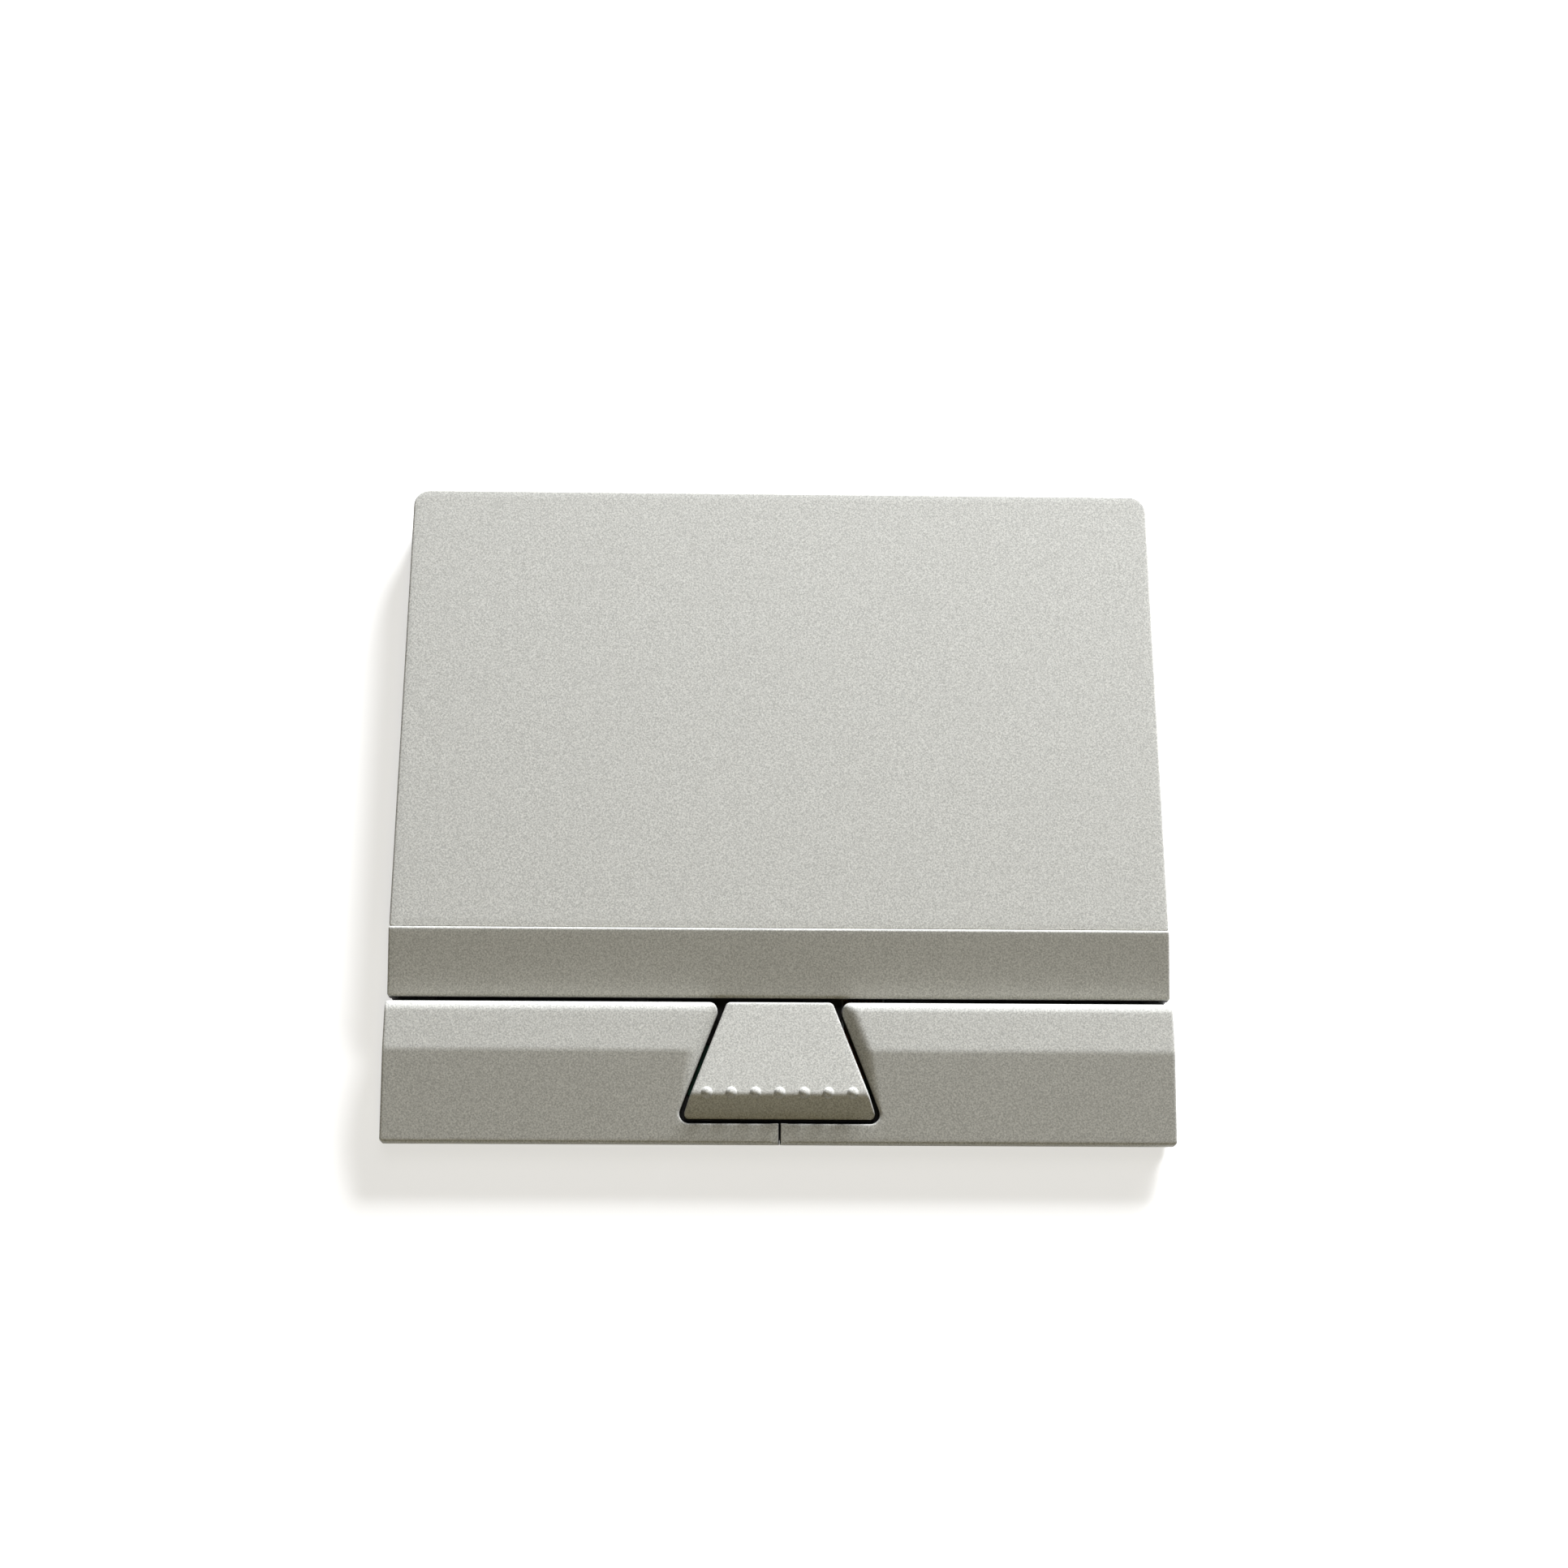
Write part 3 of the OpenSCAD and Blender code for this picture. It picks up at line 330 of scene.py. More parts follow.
def prism(outline, base, height, samples):
    """A plain closed solid from one level up to a height that varies."""
    count = len(outline)
    low = np.column_stack([outline, np.full(count, base)])
    plan = np.vstack([outline, samples]) if len(samples) else outline
    faces = [face[::-1] for face in fill(outline, [])]
    faces += [[i, (i + 1) % count, count + (i + 1) % count, count + i] for i in range(count)]
    faces += [[count + i for i in face] for face in fill(outline, samples)]
    return make_object("cutter", np.vstack([low, np.column_stack([plan, height(plan)])]), faces)


def box(low, high):
    (x0, y0, z0), (x1, y1, z1) = low, high
    outline = np.array([(x0, y0), (x1, y0), (x1, y1), (x0, y1)], float)
    return prism(outline, z0, lambda p: np.full(len(p), z1), [])


def post(x, y, r, z0, z1):
    """An upright round solid."""
    turns = np.linspace(0, 2 * math.pi, POST_SIDES, endpoint=False)
    ring = np.column_stack([x + r * np.cos(turns), y + r * np.sin(turns)])
    return prism(ring, z0, lambda p: np.full(len(p), z1), [])


def cut_away(piece, cutter):
    """Takes one solid out of another. The cut faces take the cutter's material."""
    step = piece.modifiers.new("cut", "BOOLEAN")
    step.operation = "DIFFERENCE"
    step.solver = "EXACT"
    step.material_mode = "TRANSFER"
    step.object = cutter
    depsgraph = bpy.context.evaluated_depsgraph_get()
    mesh = bpy.data.meshes.new_from_object(piece.evaluated_get(depsgraph))
    piece.modifiers.clear()
    piece.data = mesh
    bpy.data.objects.remove(cutter)


def coat(piece, *materials):
    """Gives a piece its materials, in the order that its faces name them."""
    for material in materials:
        piece.data.materials.append(material)


def seat(piece, body, node):
    """Scales a finished shell to metres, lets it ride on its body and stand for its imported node."""
    piece.data.transform(Matrix.Scale(MM, 4))
    piece.data.polygons.foreach_set("use_smooth", [True] * len(piece.data.polygons))
    piece.data.set_sharp_from_angle(angle=SMOOTH_ANGLE)
    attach(piece, body)
    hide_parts(node)


def along_outline(outline, rule):
    """A radius for each point of an outline by a rule of place, eased over a short way along the outline."""
    ahead = np.linalg.norm(np.roll(outline, -1, axis=0) - outline, axis=1)
    raw = np.array([rule(x, y) for x, y in outline])
    place = np.concatenate([[0], np.cumsum(ahead)])
    total = place[-1]
    offset = np.abs(place[:-1, None] - place[None, :-1])
    offset = np.minimum(offset, total - offset)
    weight = np.maximum(1 - offset / EDGE_BLEND, 0) * ((ahead + np.roll(ahead, 1)) / 2)[None, :]
    return np.maximum((weight * raw).sum(axis=1) / weight.sum(axis=1), LEAST_EDGE_R)


def rows_of(ys):
    """Row places through the corners of a profile, with the long stretches between filled in."""
    rows = []
    for here, ahead in zip(ys, ys[1:]):
        pieces = max(1, math.ceil((ahead - here) / ROW_STEP))
        rows += [here + (ahead - here) * k / pieces for k in range(pieces)]
    return rows


def columns(x0, x1):
    """Even places from one to another, both included."""
    return np.linspace(x0, x1, max(2, math.ceil((x1 - x0) / COLUMN_STEP)))


def columns_at(outline, y):
    """The x values of an outline's points along one straight edge, so that a mesh runs square to it."""
    return np.sort(outline[np.abs(outline[:, 1] - y) < TINY, 0])


# Touch surface

def touch_surface(paint, bare_or_gap_shade):
    """The flat painted sheet, with round corners at the back."""
    corners = [(-HALF_W, Y_PAD, PAD_FRONT_R), (HALF_W, Y_PAD, PAD_FRONT_R),
               (HALF_W, Y_BACK, PAD_CORNER_R), (-HALF_W, Y_BACK, PAD_CORNER_R)]
    outline = closed_outline(corners)
    edge_r = along_outline(outline, lambda x, y: PAD_SEAM_R if y < Y_PAD + CUT else PAD_EDGE_R)
    samples = [(x, y) for y in columns(Y_PAD, Y_BACK) for x in columns(-HALF_W, HALF_W)]
    piece = shell("painted_touch_surface", outline, edge_r,
                  lambda p: np.full(len(p), Z_PAD), Z_OVERLAY, samples)
    coat(piece, paint, bare_or_gap_shade)
    return piece


# Strip

def strip_hollow():
    """The room under the strip, less the screw bosses and the ribs that keep the trunnions down."""
    y_leg = Y_RIDGE - STRIP_LEG
    x_in = HALF_W - STRIP_LEG
    rise = math.tan(STRIP_ANGLE)
    outline = np.array([(-x_in, Y_STRIP - CUT), (x_in, Y_STRIP - CUT), (x_in, y_leg), (-x_in, y_leg)])
    hollow = prism(outline, Z_SEAT - CUT,
                   lambda p: Z_RIDGE - STRIP_DROP - STRIP_WALL + rise * (p[:, 1] - Y_STRIP), [])
    z_rib = HINGE[2] + TRUNNION_R + HINGE_RIB_CLEAR
    arms = [side * x for side in (-1, 1) for x in SIDE_ARMS] + list(MID_ARMS)
    for x in [arm + side * (ARM_W + EAR_W) / 2 for arm in arms for side in (-1, 1)]:
        cut_away(hollow, box((x - EAR_W / 2, HINGE[1] - HINGE_RIB_HALF, z_rib),
                             (x + EAR_W / 2, HINGE[1] + HINGE_RIB_HALF, Z_TOP)))
    for x in (-STRIP_SCREW_X, STRIP_SCREW_X):
        cut_away(hollow, post(x, Y_RIDGE - STRIP_SCREW_IN, STRIP_BOSS_R, Z_SEAT - 2 * CUT, Z_TOP))
    return hollow


def front_strip(paint, bare_or_gap_shade):
    """The sloped strip with a round ridge at its back, hollow from below."""
    ys, zs = profile([(Y_STRIP, Z_RIDGE - STRIP_DROP, 0), (Y_RIDGE, Z_RIDGE, RIDGE_R), (Y_RIDGE, Z_SEAT, 0)])
    ys, zs = ys[:-1], zs[:-1]
    corners = [(-HALF_W, Y_STRIP, STRIP_CORNER_R), (HALF_W, Y_STRIP, STRIP_CORNER_R),
               (HALF_W, Y_RIDGE, STRIP_CORNER_R), (-HALF_W, Y_RIDGE, STRIP_CORNER_R)]
    outline = closed_outline(corners)

    def edge(x, y):
        if y > Y_RIDGE - CUT:
            return 0
        return STRIP_FRONT_R if y < Y_STRIP + CUT else STRIP_END_R

    samples = [(x, y) for y in rows_of(ys) for x in columns_at(outline, Y_RIDGE)]
    # Only the ends keep the silver. The front and back walls take the dark bare plastic as painted shade in the
    # gaps.
    piece = shell("painted_front_strip", outline, along_outline(outline, edge),
                  lambda p: np.interp(p[:, 1], ys, zs), Z_SEAT, samples, lambda x, y: abs(x) > HALF_W - CUT)
    coat(piece, paint, bare_or_gap_shade)
    hollow = strip_hollow()
    coat(hollow, bare_or_gap_shade)
    cut_away(piece, hollow)
    for x in (-STRIP_SCREW_X, STRIP_SCREW_X):
        drill = post(x, Y_RIDGE - STRIP_SCREW_IN, PILOT_R, Z_SEAT - CUT, PILOT_TOP)
        coat(drill, bare_or_gap_shade)
        cut_away(piece, drill)
    return piece


# Side buttons

def cut_cap(piece, hollow, arms, bare_or_gap_shade):
    """Hollows a cap and opens the notches that its lever's arms pass through."""
    coat(hollow, bare_or_gap_shade)
    cut_away(piece, hollow)
    half = ARM_W / 2 + NOTCH_CLEAR
    for x in arms:
        notch = box((x - half, Y_BUTTON - CAP_WALL - LEVER_GAP, Z_SKIRT - CUT),
                    (x + half, Y_BUTTON + CUT, HINGE[2] + TRUNNION_R + NOTCH_CLEAR))
        coat(notch, bare_or_gap_shade)
        cut_away(piece, notch)


def bevel_distance(x, y):
    """Distance from a side button's slanted inner wall."""
    return (x - side_x(Y_BAR)) * math.cos(SLANT) + (y - Y_BAR) * math.sin(SLANT)


def side_button(paint, bare_or_gap_shade):
    """The right button: a flat back, a long slope to the front, and a bevel down to the trapezoid."""
    ys, zs = profile([(Y_FRONT, Z_SIDE - BUTTON_DROP, 0), (Y_CREST, Z_SIDE, CREST_R),
                      (Y_BUTTON, Z_SIDE, BACK_FILLET), (Y_BUTTON, Z_SKIRT, 0)])
    ys, zs = ys[:-1], zs[:-1]

    def height(p):
        bevel = Z_BEVEL + np.maximum(bevel_distance(p[:, 0], p[:, 1]), 0) * BEVEL_SLOPE
        return soft_min(np.interp(p[:, 1], ys, zs), bevel, BEVEL_BLEND)

    def edge(x, y):
        if y > Y_BUTTON - CUT:
            return 0
        if x < X_SPLIT + 2 * EDGE_BLEND:
            return SPLIT_EDGE_R
        return GAP_EDGE_R if y > Y_BAR - CUT and x < HALF_W - OUTER_R else SIDE_EDGE_R

    outline = closed_outline([
        (X_SPLIT, Y_FRONT, SPLIT_CORNER_R), (HALF_W, Y_FRONT, OUTER_R),
        (HALF_W, Y_BUTTON, OUTER_R), (side_x(Y_BUTTON), Y_BUTTON, INNER_R),
        (side_x(Y_BAR), Y_BAR, NOOK_R), (X_SPLIT, Y_BAR, SPLIT_CORNER_R)])
    samples = []
    back = columns_at(outline, Y_BUTTON)
    for y in rows_of(ys):
        x_bevel = side_x(y) + np.arange(BEVEL_START, BEVEL_REACH, BEVEL_STEP) / math.cos(SLANT)
        near = x_bevel if y > Y_BAR else columns(0, x_bevel[-1])
        if y > Y_BUTTON - BACK_FILLET:
            near = near[:0]
        reach = near[-1] + EDGE_STEP / 2 if len(near) else 0
        samples += [(x, y) for x in near] + [(x, y) for x in back if x > reach]
    # The wall at the split leans towards its neighbour, so that the gap closes up downwards.
    lean = np.clip(1 - (outline[:, 0] - X_SPLIT) / SPLIT_CORNER_R, 0, 1) * (X_SPLIT - SPLIT_FOOT_X)
    foot = outline - np.column_stack([lean, np.zeros(len(outline))])
    # Only the outer end and the front wall keep the silver. The walls that face the gaps take the dark bare
    # plastic as painted shade.
    piece = shell("painted_right_button", outline, along_outline(outline, edge), height, Z_SKIRT, samples,
                  lambda x, y: x > HALF_W - OUTER_R or y < Y_FRONT + CUT, foot)
    coat(piece, paint, bare_or_gap_shade)

    thick = CAP_WALL / math.cos(SLANT)
    y_in = Y_BUTTON - CAP_WALL
    crest = [(side_x(Y_CREST) + thick, Y_CREST), (HALF_W - CAP_WALL, Y_CREST)]
    hollow_outline = np.array([(side_x(Y_BAR) + thick, Y_BAR), (HALF_W - CAP_WALL, Y_BAR), crest[1],
                               (HALF_W - CAP_WALL, y_in), (side_x(y_in) + thick, y_in), crest[0]])
    middle = [(x, Y_CREST) for x in columns(crest[0][0], crest[1][0])[1:-1]]
    ceiling = ([Y_FRONT, Y_CREST, Y_BUTTON],
               [Z_SIDE - BUTTON_DROP - CAP_WALL, Z_SIDE - CAP_WALL, Z_SIDE - CAP_WALL])
    hollow = prism(hollow_outline, Z_SKIRT - CUT, lambda p: np.interp(p[:, 1], *ceiling), middle)
    cut_cap(piece, hollow, SIDE_ARMS, bare_or_gap_shade)
    return piece


def mirrored(piece, name):
    """The same shell on the other side of the middle."""
    mesh = piece.data.copy()
    mesh.transform(Matrix.Scale(-1, 4, (1, 0, 0)))
    mesh.flip_normals()
    made = bpy.data.objects.new(name, mesh)
    bpy.context.scene.collection.objects.link(made)
    return made


# Middle button

def bump_samples():
    """Rings of points round each bump, close together where its side is steep."""
    tilts = np.arange(BUMP_RING_STEP, 90 + BUMP_RING_STEP, BUMP_RING_STEP)
    steep = BUMP_R * np.sin(np.radians(tilts))
    rings = np.concatenate([steep, BUMP_R + np.array(BUMP_FOOT)])
    turns = np.linspace(0, 2 * math.pi, BUMP_SIDES, endpoint=False)
    points = []
    for i in range(BUMP_COUNT):
        x, y = bump_place(i)
        points.append((x, y))
        points += [(x + r * math.cos(a), y + r * math.sin(a)) for r in rings for a in turns]
    return points


def bump_place(i):
    """The middle of one bump of the row, in plan."""
    return (i - (BUMP_COUNT - 1) / 2) * BUMP_PITCH, Y_FACE + BUMP_SINK


def middle_button(paint, bare_or_gap_shade):
    """The trapezoid, which rises to a row of bumps and then drops to its front."""
    ys, zs = profile([(Y_MID_FRONT, Z_MID_EDGE - FACE_DROP, 0), (Y_FACE, Z_MID_EDGE, FACE_EDGE_R),
                      (Y_BUTTON, Z_MID, 0)])

    def height(p):
        z = np.interp(p[:, 1], ys, zs)
        for i in range(BUMP_COUNT):
            x, y = bump_place(i)
            away = (p[:, 0] - x) ** 2 + (p[:, 1] - y) ** 2
            ball = Z_MID_EDGE - BUMP_SINK + np.sqrt(np.maximum(BUMP_R ** 2 - away, 0))
            outside = away > BUMP_R ** 2
            z = soft_max(z, ball - 2 * FACE_DROP * outside, BUMP_BLEND)
        return z

    outline = closed_outline([
        (-MID_FRONT_W / 2, Y_MID_FRONT, MID_FRONT_R), (MID_FRONT_W / 2, Y_MID_FRONT, MID_FRONT_R),
        (MID_BACK_W / 2, Y_BUTTON, MID_BACK_R), (-MID_BACK_W / 2, Y_BUTTON, MID_BACK_R)])

    def edge(x, y):
        if y > Y_BUTTON - CUT:
            return MID_BACK_EDGE_R
        return MID_FRONT_EDGE_R if y < Y_MID_FRONT + CUT else MID_EDGE_R

    edge_r = along_outline(outline, edge)
    bumps = bump_samples()
    grid = np.array([(x, y) for y in rows_of(ys) for x in columns(-mid_half(y), mid_half(y))])
    centres = np.array([bump_place(i) for i in range(BUMP_COUNT)])
    apart = np.linalg.norm(grid[:, None] - centres, axis=2).min(axis=1)
    samples = np.vstack([grid[apart > BUMP_R + BUMP_CLEAR], bumps])
    # All its walls face gaps and take the dark bare plastic as painted shade.
    piece = shell("painted_middle_button", outline, edge_r, height, Z_SKIRT, samples, lambda x, y: False)
    coat(piece, paint, bare_or_gap_shade)

    thick = MID_WALL / math.cos(SLANT)
    y_in = Y_BUTTON - MID_WALL
    y_in_front = Y_MID_FRONT + MID_WALL
    right = [(mid_half(y) - thick, y) for y in (y_in_front, Y_FACE, y_in)]
    hollow_outline = np.array(right + [(-x, y) for x, y in right[::-1]])
    middle = [(x, Y_FACE) for x in columns(-right[1][0], right[1][0])[1:-1]]
    ceiling = ([Y_MID_FRONT, Y_FACE, Y_BUTTON],
               [Z_MID_EDGE - FACE_DROP - MID_WALL, Z_MID_EDGE - MID_WALL, Z_MID - MID_WALL])
    hollow = prism(hollow_outline, Z_SKIRT - CUT, lambda p: np.interp(p[:, 1], *ceiling), middle)
    cut_cap(piece, hollow, MID_ARMS, bare_or_gap_shade)
    return piece


# Finishes

# Patterns are turned off the axes, so that no flat face lies along their cells.
PATTERN_TURN = (0.65, 0.4, 0.9)

# A wave texture of scale 1 repeats after a tenth of pi in metres.
WAVE_PERIOD = math.pi / 10

# Places of a Mix node's colour sockets among all its sockets
MIX_A, MIX_B, MIX_OUT = 6, 7, 2


class Finish:
    """A procedural material, built on one shader, with sizes of its patterns in millimetres."""

    def __init__(self, name, colour, roughness, metallic=0.0):
        self.material = bpy.data.materials.new(name)
        self.material.use_nodes = True
        self.nodes = self.material.node_tree.nodes
        self.links = self.material.node_tree.links
        self.shader = self.nodes["Principled BSDF"]
        self.shader.inputs["Base Color"].default_value = (*colour, 1)
        self.shader.inputs["Roughness"].default_value = roughness
        self.shader.inputs["Metallic"].default_value = metallic
        self.place = self.nodes.new("ShaderNodeTexCoord").outputs["Object"]

    def stretched(self, stretch):
        """The place on the piece, turned and stretched for a pattern."""
        mapping = self.nodes.new("ShaderNodeMapping")
        mapping.inputs["Scale"].default_value = stretch
        mapping.inputs["Rotation"].default_value = PATTERN_TURN
        self.links.new(self.place, mapping.inputs["Vector"])
        return mapping.outputs["Vector"]

    def noise(self, size, detail=2.0, rough=0.5, stretch=(1, 1, 1)):
        """Cloudy pattern with features of one size. Output runs from 0 to 1 round a half."""
        node = self.nodes.new("ShaderNodeTexNoise")
        node.inputs["Scale"].default_value = 1 / (size * MM)
        node.inputs["Detail"].default_value = detail
        node.inputs["Roughness"].default_value = rough
        self.links.new(self.stretched(stretch), node.inputs["Vector"])
        return node.outputs["Fac"]

    def stripes(self, size, axis):
        """Even bands across one axis."""
        node = self.nodes.new("ShaderNodeTexWave")
        node.bands_direction = axis
        node.inputs["Scale"].default_value = WAVE_PERIOD / (size * MM)
        self.links.new(self.place, node.inputs["Vector"])
        return node.outputs["Fac"]

    def spread(self, value, low, high, start=0.3, end=0.7):
        """A pattern's range from start to end, spread over low to high."""
        node = self.nodes.new("ShaderNodeMapRange")
        for socket, number in zip(("From Min", "From Max", "To Min", "To Max"), (start, end, low, high)):
            node.inputs[socket].default_value = number
        self.links.new(value, node.inputs["Value"])
        return node.outputs["Result"]

    def mix(self, share, a, b):
        """A colour between two, where each is a colour or another mix."""
        node = self.nodes.new("ShaderNodeMix")
        node.data_type = "RGBA"
        self.links.new(share, node.inputs["Factor"])
        for socket, colour in ((node.inputs[MIX_A], a), (node.inputs[MIX_B], b)):
            if isinstance(colour, tuple):
                socket.default_value = (*colour, 1)
            else:
                self.links.new(colour, socket)
        return node.outputs[MIX_OUT]

    def set(self, socket, value):
        """Lets a pattern drive one of the shader's sockets."""
        self.links.new(value, self.shader.inputs[socket])

    def bump(self, height, depth, strength):
        """Raises the surface by a pattern, to a depth in millimetres. Bumps stack on the one before."""
        node = self.nodes.new("ShaderNodeBump")
        node.inputs["Strength"].default_value = strength
        node.inputs["Distance"].default_value = depth * MM
        self.links.new(height, node.inputs["Height"])
        before = self.shader.inputs["Normal"].links
        if before:
            self.links.new(before[0].from_socket, node.inputs["Normal"])
        self.links.new(node.outputs["Normal"], self.shader.inputs["Normal"])


def shade(colour, share):
    """A lighter or darker version of a colour."""
    return tuple(c * share for c in colour)


def silver_paint():
    """Satin silver paint: a fine grain of light and dark flakes, slow cloudiness and a faint orange peel."""
    colour = (0.578, 0.579, 0.55)
    finish = Finish("silver_paint", colour, roughness=0.62, metallic=0.12)
    finish.shader.inputs["Specular IOR Level"].default_value = 0.3
    flakes = finish.noise(0.2, 1.0, 0.6)
    clouds = finish.noise(9, 2.0, 0.5)
    grain = finish.mix(finish.spread(flakes, 0, 1, 0.32, 0.68), shade(colour, 0.75), shade(colour, 1.25))
    finish.set("Base Color", finish.mix(finish.spread(clouds, 0, 0.1), grain, shade(colour, 0.94)))
    finish.set("Roughness", finish.spread(finish.noise(0.2, 2.0, 0.6), 0.57, 0.67))
    finish.bump(finish.noise(0.14, 2.0, 0.6), 0.005, 0.5)
    return finish.material


def moulded(name, colour, roughness, grain, depth):
    """Moulded plastic or rubber: a spark-eroded skin with slight changes of shade."""
    finish = Finish(name, colour, roughness)
    skin = finish.noise(grain, 4.0, 0.6)
    finish.set("Base Color", finish.mix(finish.spread(skin, 0, 1), shade(colour, 0.85), shade(colour, 1.2)))
    wear = finish.noise(grain * 3, 2.0, 0.5)
    finish.set("Roughness", finish.spread(wear, roughness - 0.08, roughness + 0.08))
    finish.bump(skin, depth, 0.6)
    return finish.material


def metal(name, colour, roughness, stretch, grain):
    """Rolled, turned or plated metal: fine lines along one way and patches of duller plating."""
    finish = Finish(name, colour, roughness, 1.0)
    lines = finish.noise(grain, 3.0, 0.7, stretch)
    patches = finish.noise(3.5, 3.0, 0.6)
    tone = finish.mix(finish.spread(patches, 0, 1), shade(colour, 0.86), shade(colour, 1.08))
    finish.set("Base Color", tone)
    finish.set("Roughness", finish.spread(lines, roughness - 0.08, roughness + 0.1))
    finish.bump(lines, 0.006, 0.5)
    return finish.material


def circuit_board():
    """Dark green solder mask over copper: rows of tracks, and the glass weave under it."""
    mask, copper = (0.006, 0.034, 0.020), (0.010, 0.055, 0.032)
    finish = Finish("circuit_board", mask, 0.38)
    weave = finish.noise(0.6, 2.0, 0.5, (1, 3, 1))
    tracks = finish.spread(finish.stripes(1.2, "X"), 0, 1, 0.55, 0.65)
    ground = finish.mix(finish.spread(weave, 0, 1), shade(mask, 0.85), shade(mask, 1.15))
    finish.set("Base Color", finish.mix(tracks, ground, copper))
    finish.set("Roughness", finish.spread(weave, 0.32, 0.44))
    finish.bump(tracks, 0.03, 0.4)
    return finish.material


def polyimide():
    """Dark brown film with flat copper conductors showing faintly through it."""
    brown, copper = (0.085, 0.038, 0.014), (0.15, 0.07, 0.025)
    finish = Finish("polyimide", brown, 0.36)
    lanes = finish.spread(finish.stripes(0.5, "X"), 0, 1, 0.4, 0.6)
    finish.set("Base Color", finish.mix(lanes, brown, copper))
    finish.set("Roughness", finish.spread(finish.noise(0.8), 0.24, 0.36))
    finish.bump(lanes, 0.02, 0.4)
    return finish.material


# Colour, roughness, size of the grain and its depth
MOULDED = {
    "black_plastic": ((0.028, 0.028, 0.03), 0.5, 0.25, 0.02),
    "adhesive": ((0.74, 0.72, 0.62), 0.45, 0.6, 0.01),
    "chip_epoxy": ((0.02, 0.02, 0.022), 0.55, 0.12, 0.008),
    "ceramic": ((0.42, 0.30, 0.19), 0.5, 0.1, 0.006),
    "ivory_plastic": ((0.74, 0.70, 0.60), 0.42, 0.2, 0.01),
    "brown_plastic": ((0.09, 0.048, 0.03), 0.45, 0.2, 0.01),
    "rubber": ((0.025, 0.025, 0.026), 0.75, 0.3, 0.02),
    # Dark bare plastic inside the shells, which is also painted shade on the walls that face the gaps.
    "bare_plastic_and_gap_shade": ((0.035, 0.035, 0.034), 0.55, 0.25, 0.01),
}

# Colour, roughness, stretch of the fine lines and their width
METALS = {
    "plated_steel": ((0.62, 0.63, 0.64), 0.34, (0.06, 1, 1), 0.12),
    "gold_plate": ((0.83, 0.62, 0.25), 0.28, (1, 1, 1), 0.08),
    "tinned_metal": ((0.70, 0.70, 0.69), 0.36, (1, 1, 1), 0.1),
    "brass": ((0.68, 0.52, 0.24), 0.32, (1, 1, 0.1), 0.1),
    "screw_steel": ((0.34, 0.34, 0.35), 0.34, (1, 1, 1), 0.1),
}


def finishes():
    """The material for each slot of the record, and the bare plastic of the shells, also painted shade in the
    gaps.
    """
    looks = {"silver_paint": silver_paint(), "circuit_board": circuit_board(), "polyimide": polyimide()}
    for name, values in MOULDED.items():
        looks[name] = moulded(name, *values)
    for name, values in METALS.items():
        looks[name] = metal(name, *values)
    return looks


# Stage, light and camera

# The stage and the lamps are in metres.
FLOOR_R = 1.7
FLOOR_SIDES = 96
COVE_R = 0.3
COVE_STEPS = 16
WALL_HEIGHT = 0.45
NEAR_COLOUR, FAR_COLOUR = (0.82, 0.82, 0.82), (0.2, 0.2, 0.2)
NEAR_LIFT, FAR_LIFT = 0.6, 1.0
NEAR_R, FAR_R = 0.15, 0.6
WORLD_COLOUR, WORLD_STRENGTH = (1, 0.98, 0.9), 0.01


def backdrop_material():
    """Pale and matt. What the camera and mirrors see of it is lifted to white, and shadows stay near.

    Far away it scatters less, so that the room doesn't light the object from all round."""
    material = bpy.data.materials.new("pale_backdrop")
    material.use_nodes = True
    material.cycles.emission_sampling = "NONE"
    nodes, links = material.node_tree.nodes, material.node_tree.links
    shader = nodes["Principled BSDF"]
    shader.inputs["Roughness"].default_value = 0.9
    shader.inputs["Specular IOR Level"].default_value = 0.0
    shader.inputs["Emission Color"].default_value = (1, 1, 1, 1)
    away = nodes.new("ShaderNodeVectorMath")
    away.operation = "LENGTH"
    links.new(nodes.new("ShaderNodeTexCoord").outputs["Object"], away.inputs[0])

    def grow(near, far):
        node = nodes.new("ShaderNodeMapRange")
        for socket, number in zip(("From Min", "From Max", "To Min", "To Max"), (NEAR_R, FAR_R, near, far)):
            node.inputs[socket].default_value = number
        links.new(away.outputs["Value"], node.inputs["Value"])
        return node.outputs["Result"]

    tone = nodes.new("ShaderNodeMix")
    tone.data_type = "RGBA"
    tone.inputs[MIX_A].default_value = (*NEAR_COLOUR, 1)
    tone.inputs[MIX_B].default_value = (*FAR_COLOUR, 1)
    links.new(grow(0, 1), tone.inputs["Factor"])
    links.new(tone.outputs[MIX_OUT], shader.inputs["Base Color"])
    path = nodes.new("ShaderNodeLightPath")
    seen = path.outputs["Is Camera Ray"]
    for ray in ("Is Glossy Ray", "Is Transmission Ray"):
        either = nodes.new("ShaderNodeMath")
        either.operation = "MAXIMUM"
        links.new(seen, either.inputs[0])
        links.new(path.outputs[ray], either.inputs[1])
        seen = either.outputs[0]
    lift = nodes.new("ShaderNodeMath")
    lift.operation = "MULTIPLY"
    links.new(seen, lift.inputs[0])
    links.new(grow(NEAR_LIFT, FAR_LIFT), lift.inputs[1])
    links.new(lift.outputs[0], shader.inputs["Emission Strength"])
    return material


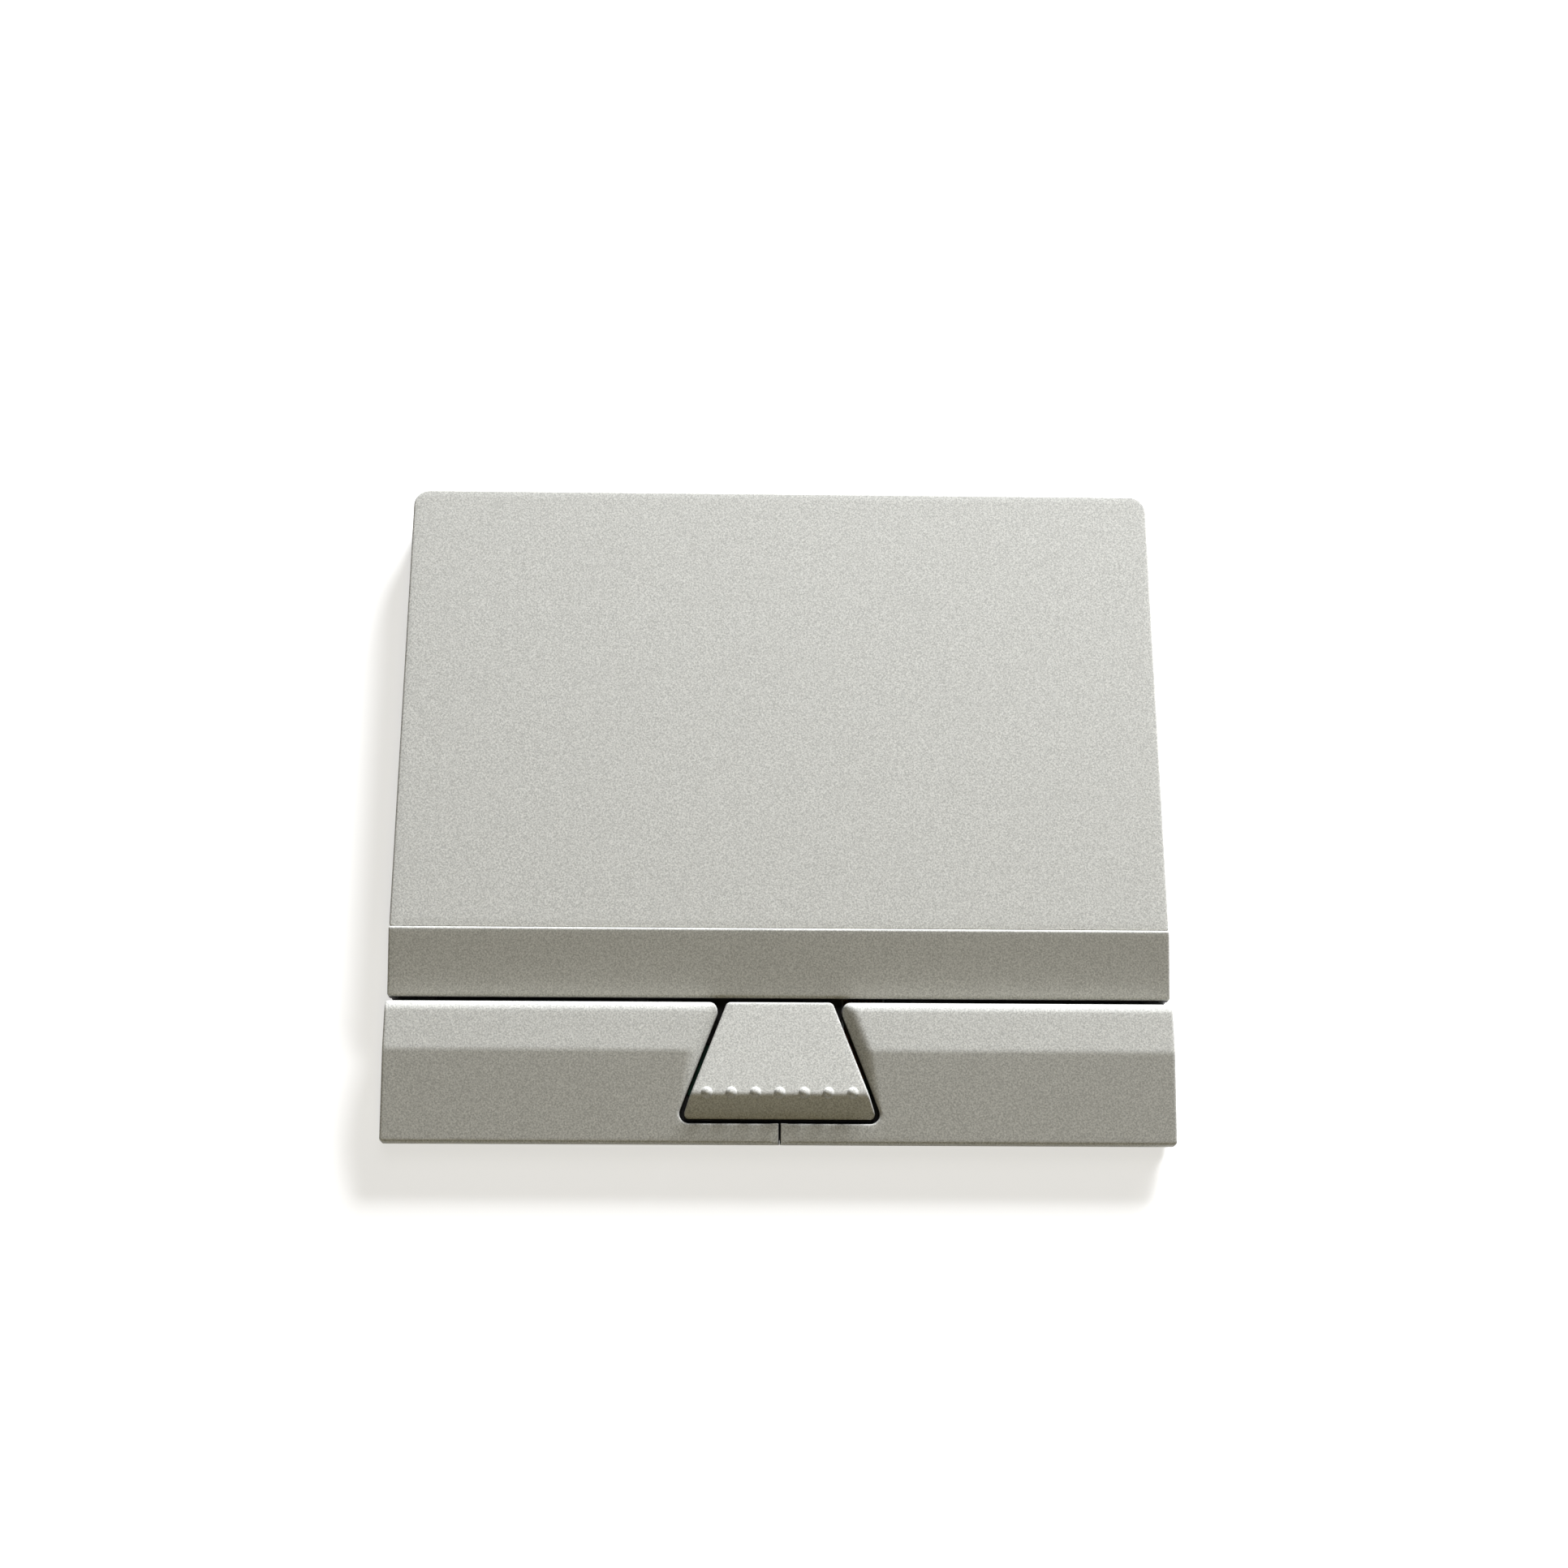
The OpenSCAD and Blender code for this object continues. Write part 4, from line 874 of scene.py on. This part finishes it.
def stage():
    """A round floor that curves up into a wall far round the object."""
    cove = [(FLOOR_R + COVE_R * math.sin(a), COVE_R * (1 - math.cos(a)))
            for a in np.linspace(0, math.pi / 2, COVE_STEPS + 1)]
    section = cove + [(FLOOR_R + COVE_R, WALL_HEIGHT)]
    turns = np.linspace(0, 2 * math.pi, FLOOR_SIDES, endpoint=False)
    count = len(turns)
    points = [(r * math.cos(a), r * math.sin(a), z) for r, z in section for a in turns]
    faces = [list(range(count))]
    for k in range(len(section) - 1):
        for i in range(count):
            j = (i + 1) % count
            faces.append([k * count + i, (k + 1) * count + i, (k + 1) * count + j, k * count + j])
    floor = make_object("floor", points, faces)
    floor.data.polygons.foreach_set("use_smooth", [True] * len(floor.data.polygons))
    floor.data.materials.append(backdrop_material())


def lamp(name, azimuth, elevation, distance, size, power, colour):
    """A square soft box that looks at the middle of the object. Azimuth runs from the back to the right."""
    turn, lift = math.radians(azimuth), math.radians(elevation)
    flat = math.cos(lift)
    place = Vector((math.sin(turn) * flat, math.cos(turn) * flat, math.sin(lift))) * distance
    light = bpy.data.lights.new(name, "AREA")
    light.shape = "SQUARE"
    light.size = size
    light.energy = power
    light.color = colour
    made = bpy.data.objects.new(name, light)
    made.location = place
    made.rotation_euler = (-place).to_track_quat("-Z", "Y").to_euler()
    bpy.context.scene.collection.objects.link(made)
    return made


def lights():
    """A low key from behind on the right, a weak one over the back, and a weak warm fill from the front."""
    key = lamp("key", azimuth=23, elevation=17.5, distance=0.72, size=0.29, power=17.4,
               colour=(0.957, 0.97, 1))
    key.visible_glossy = False  # Its glare would whiten the touch surface from low in front.
    lamp("overhead", azimuth=0, elevation=66, distance=1.1, size=0.6, power=1.0, colour=(0.98, 0.96, 1))
    lamp("fill", azimuth=180, elevation=55, distance=1.1, size=0.6, power=1.75, colour=(1, 0.86, 0.47))
    world = bpy.data.worlds.new("studio")
    world.use_nodes = True
    background = world.node_tree.nodes["Background"]
    background.inputs["Color"].default_value = (*WORLD_COLOUR, 1)
    background.inputs["Strength"].default_value = WORLD_STRENGTH
    bpy.context.scene.world = world


# The camera is in millimetres.
CAMERA_TARGET = (0.512, 2.937, 4.0)
CAMERA_DISTANCE = 305.2
CAMERA_ELEVATION = math.radians(70.68)
CAMERA_AZIMUTH = math.radians(3.22)
CAMERA_ROLL = math.radians(3.47)
CAMERA_LENS = 53.2
CAMERA_NEAR = 10


def camera():
    """The photograph's viewpoint: almost from above, a little to the left, with a slight roll."""
    flat = math.cos(CAMERA_ELEVATION)
    back = Vector((-math.sin(CAMERA_AZIMUTH) * flat, -math.cos(CAMERA_AZIMUTH) * flat,
                   math.sin(CAMERA_ELEVATION)))
    level = Vector((0, 0, 1)).cross(back).normalized()
    upright = back.cross(level)
    right = level * math.cos(CAMERA_ROLL) + upright * math.sin(CAMERA_ROLL)
    up = upright * math.cos(CAMERA_ROLL) - level * math.sin(CAMERA_ROLL)
    data = bpy.data.cameras.new("camera")
    data.lens = CAMERA_LENS
    data.clip_start = CAMERA_NEAR * MM
    made = bpy.data.objects.new("camera", data)
    turn = Matrix((right, up, back)).transposed().to_4x4()
    made.matrix_world = Matrix.Translation((Vector(CAMERA_TARGET) + back * CAMERA_DISTANCE) * MM) @ turn
    bpy.context.scene.collection.objects.link(made)
    bpy.context.scene.camera = made


# The whole

def snap_dome(side):
    """A copy of a switch's snap dome, on the base in place of the imported one."""
    node = side + "_switch_dome"
    packed = frame["nodes"][node]
    piece = bpy.data.objects.new("snap_" + node, packed.data.copy())
    piece.matrix_world = packed.matrix_world
    bpy.context.scene.collection.objects.link(piece)
    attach(piece, "base")
    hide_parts(node)
    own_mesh(piece)


def dress():
    """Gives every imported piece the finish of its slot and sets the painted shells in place."""
    looks = finishes()
    for part in frame["record"]["subparts"]:
        mesh = frame["nodes"][part["node"]].data
        mesh.materials.clear()
        mesh.materials.append(looks[part["material_slot"]])
    paint, bare_or_gap_shade = looks["silver_paint"], looks["bare_plastic_and_gap_shade"]
    right = side_button(paint, bare_or_gap_shade)
    shells = [
        (touch_surface(paint, bare_or_gap_shade), "base", "touch_surface"),
        (front_strip(paint, bare_or_gap_shade), "base", "front_strip"),
        (mirrored(right, "painted_left_button"), "left_button", "left_button_cap"),
        (middle_button(paint, bare_or_gap_shade), "middle_button", "middle_button_cap"),
        (right, "right_button", "right_button_cap"),
    ]
    for piece, body, node in shells:
        seat(piece, body, node)
    for side in ("left", "middle", "right"):
        snap_dome(side)


dress()
stage()
lights()
camera()
bpy.context.scene.view_settings.view_transform = "Standard"
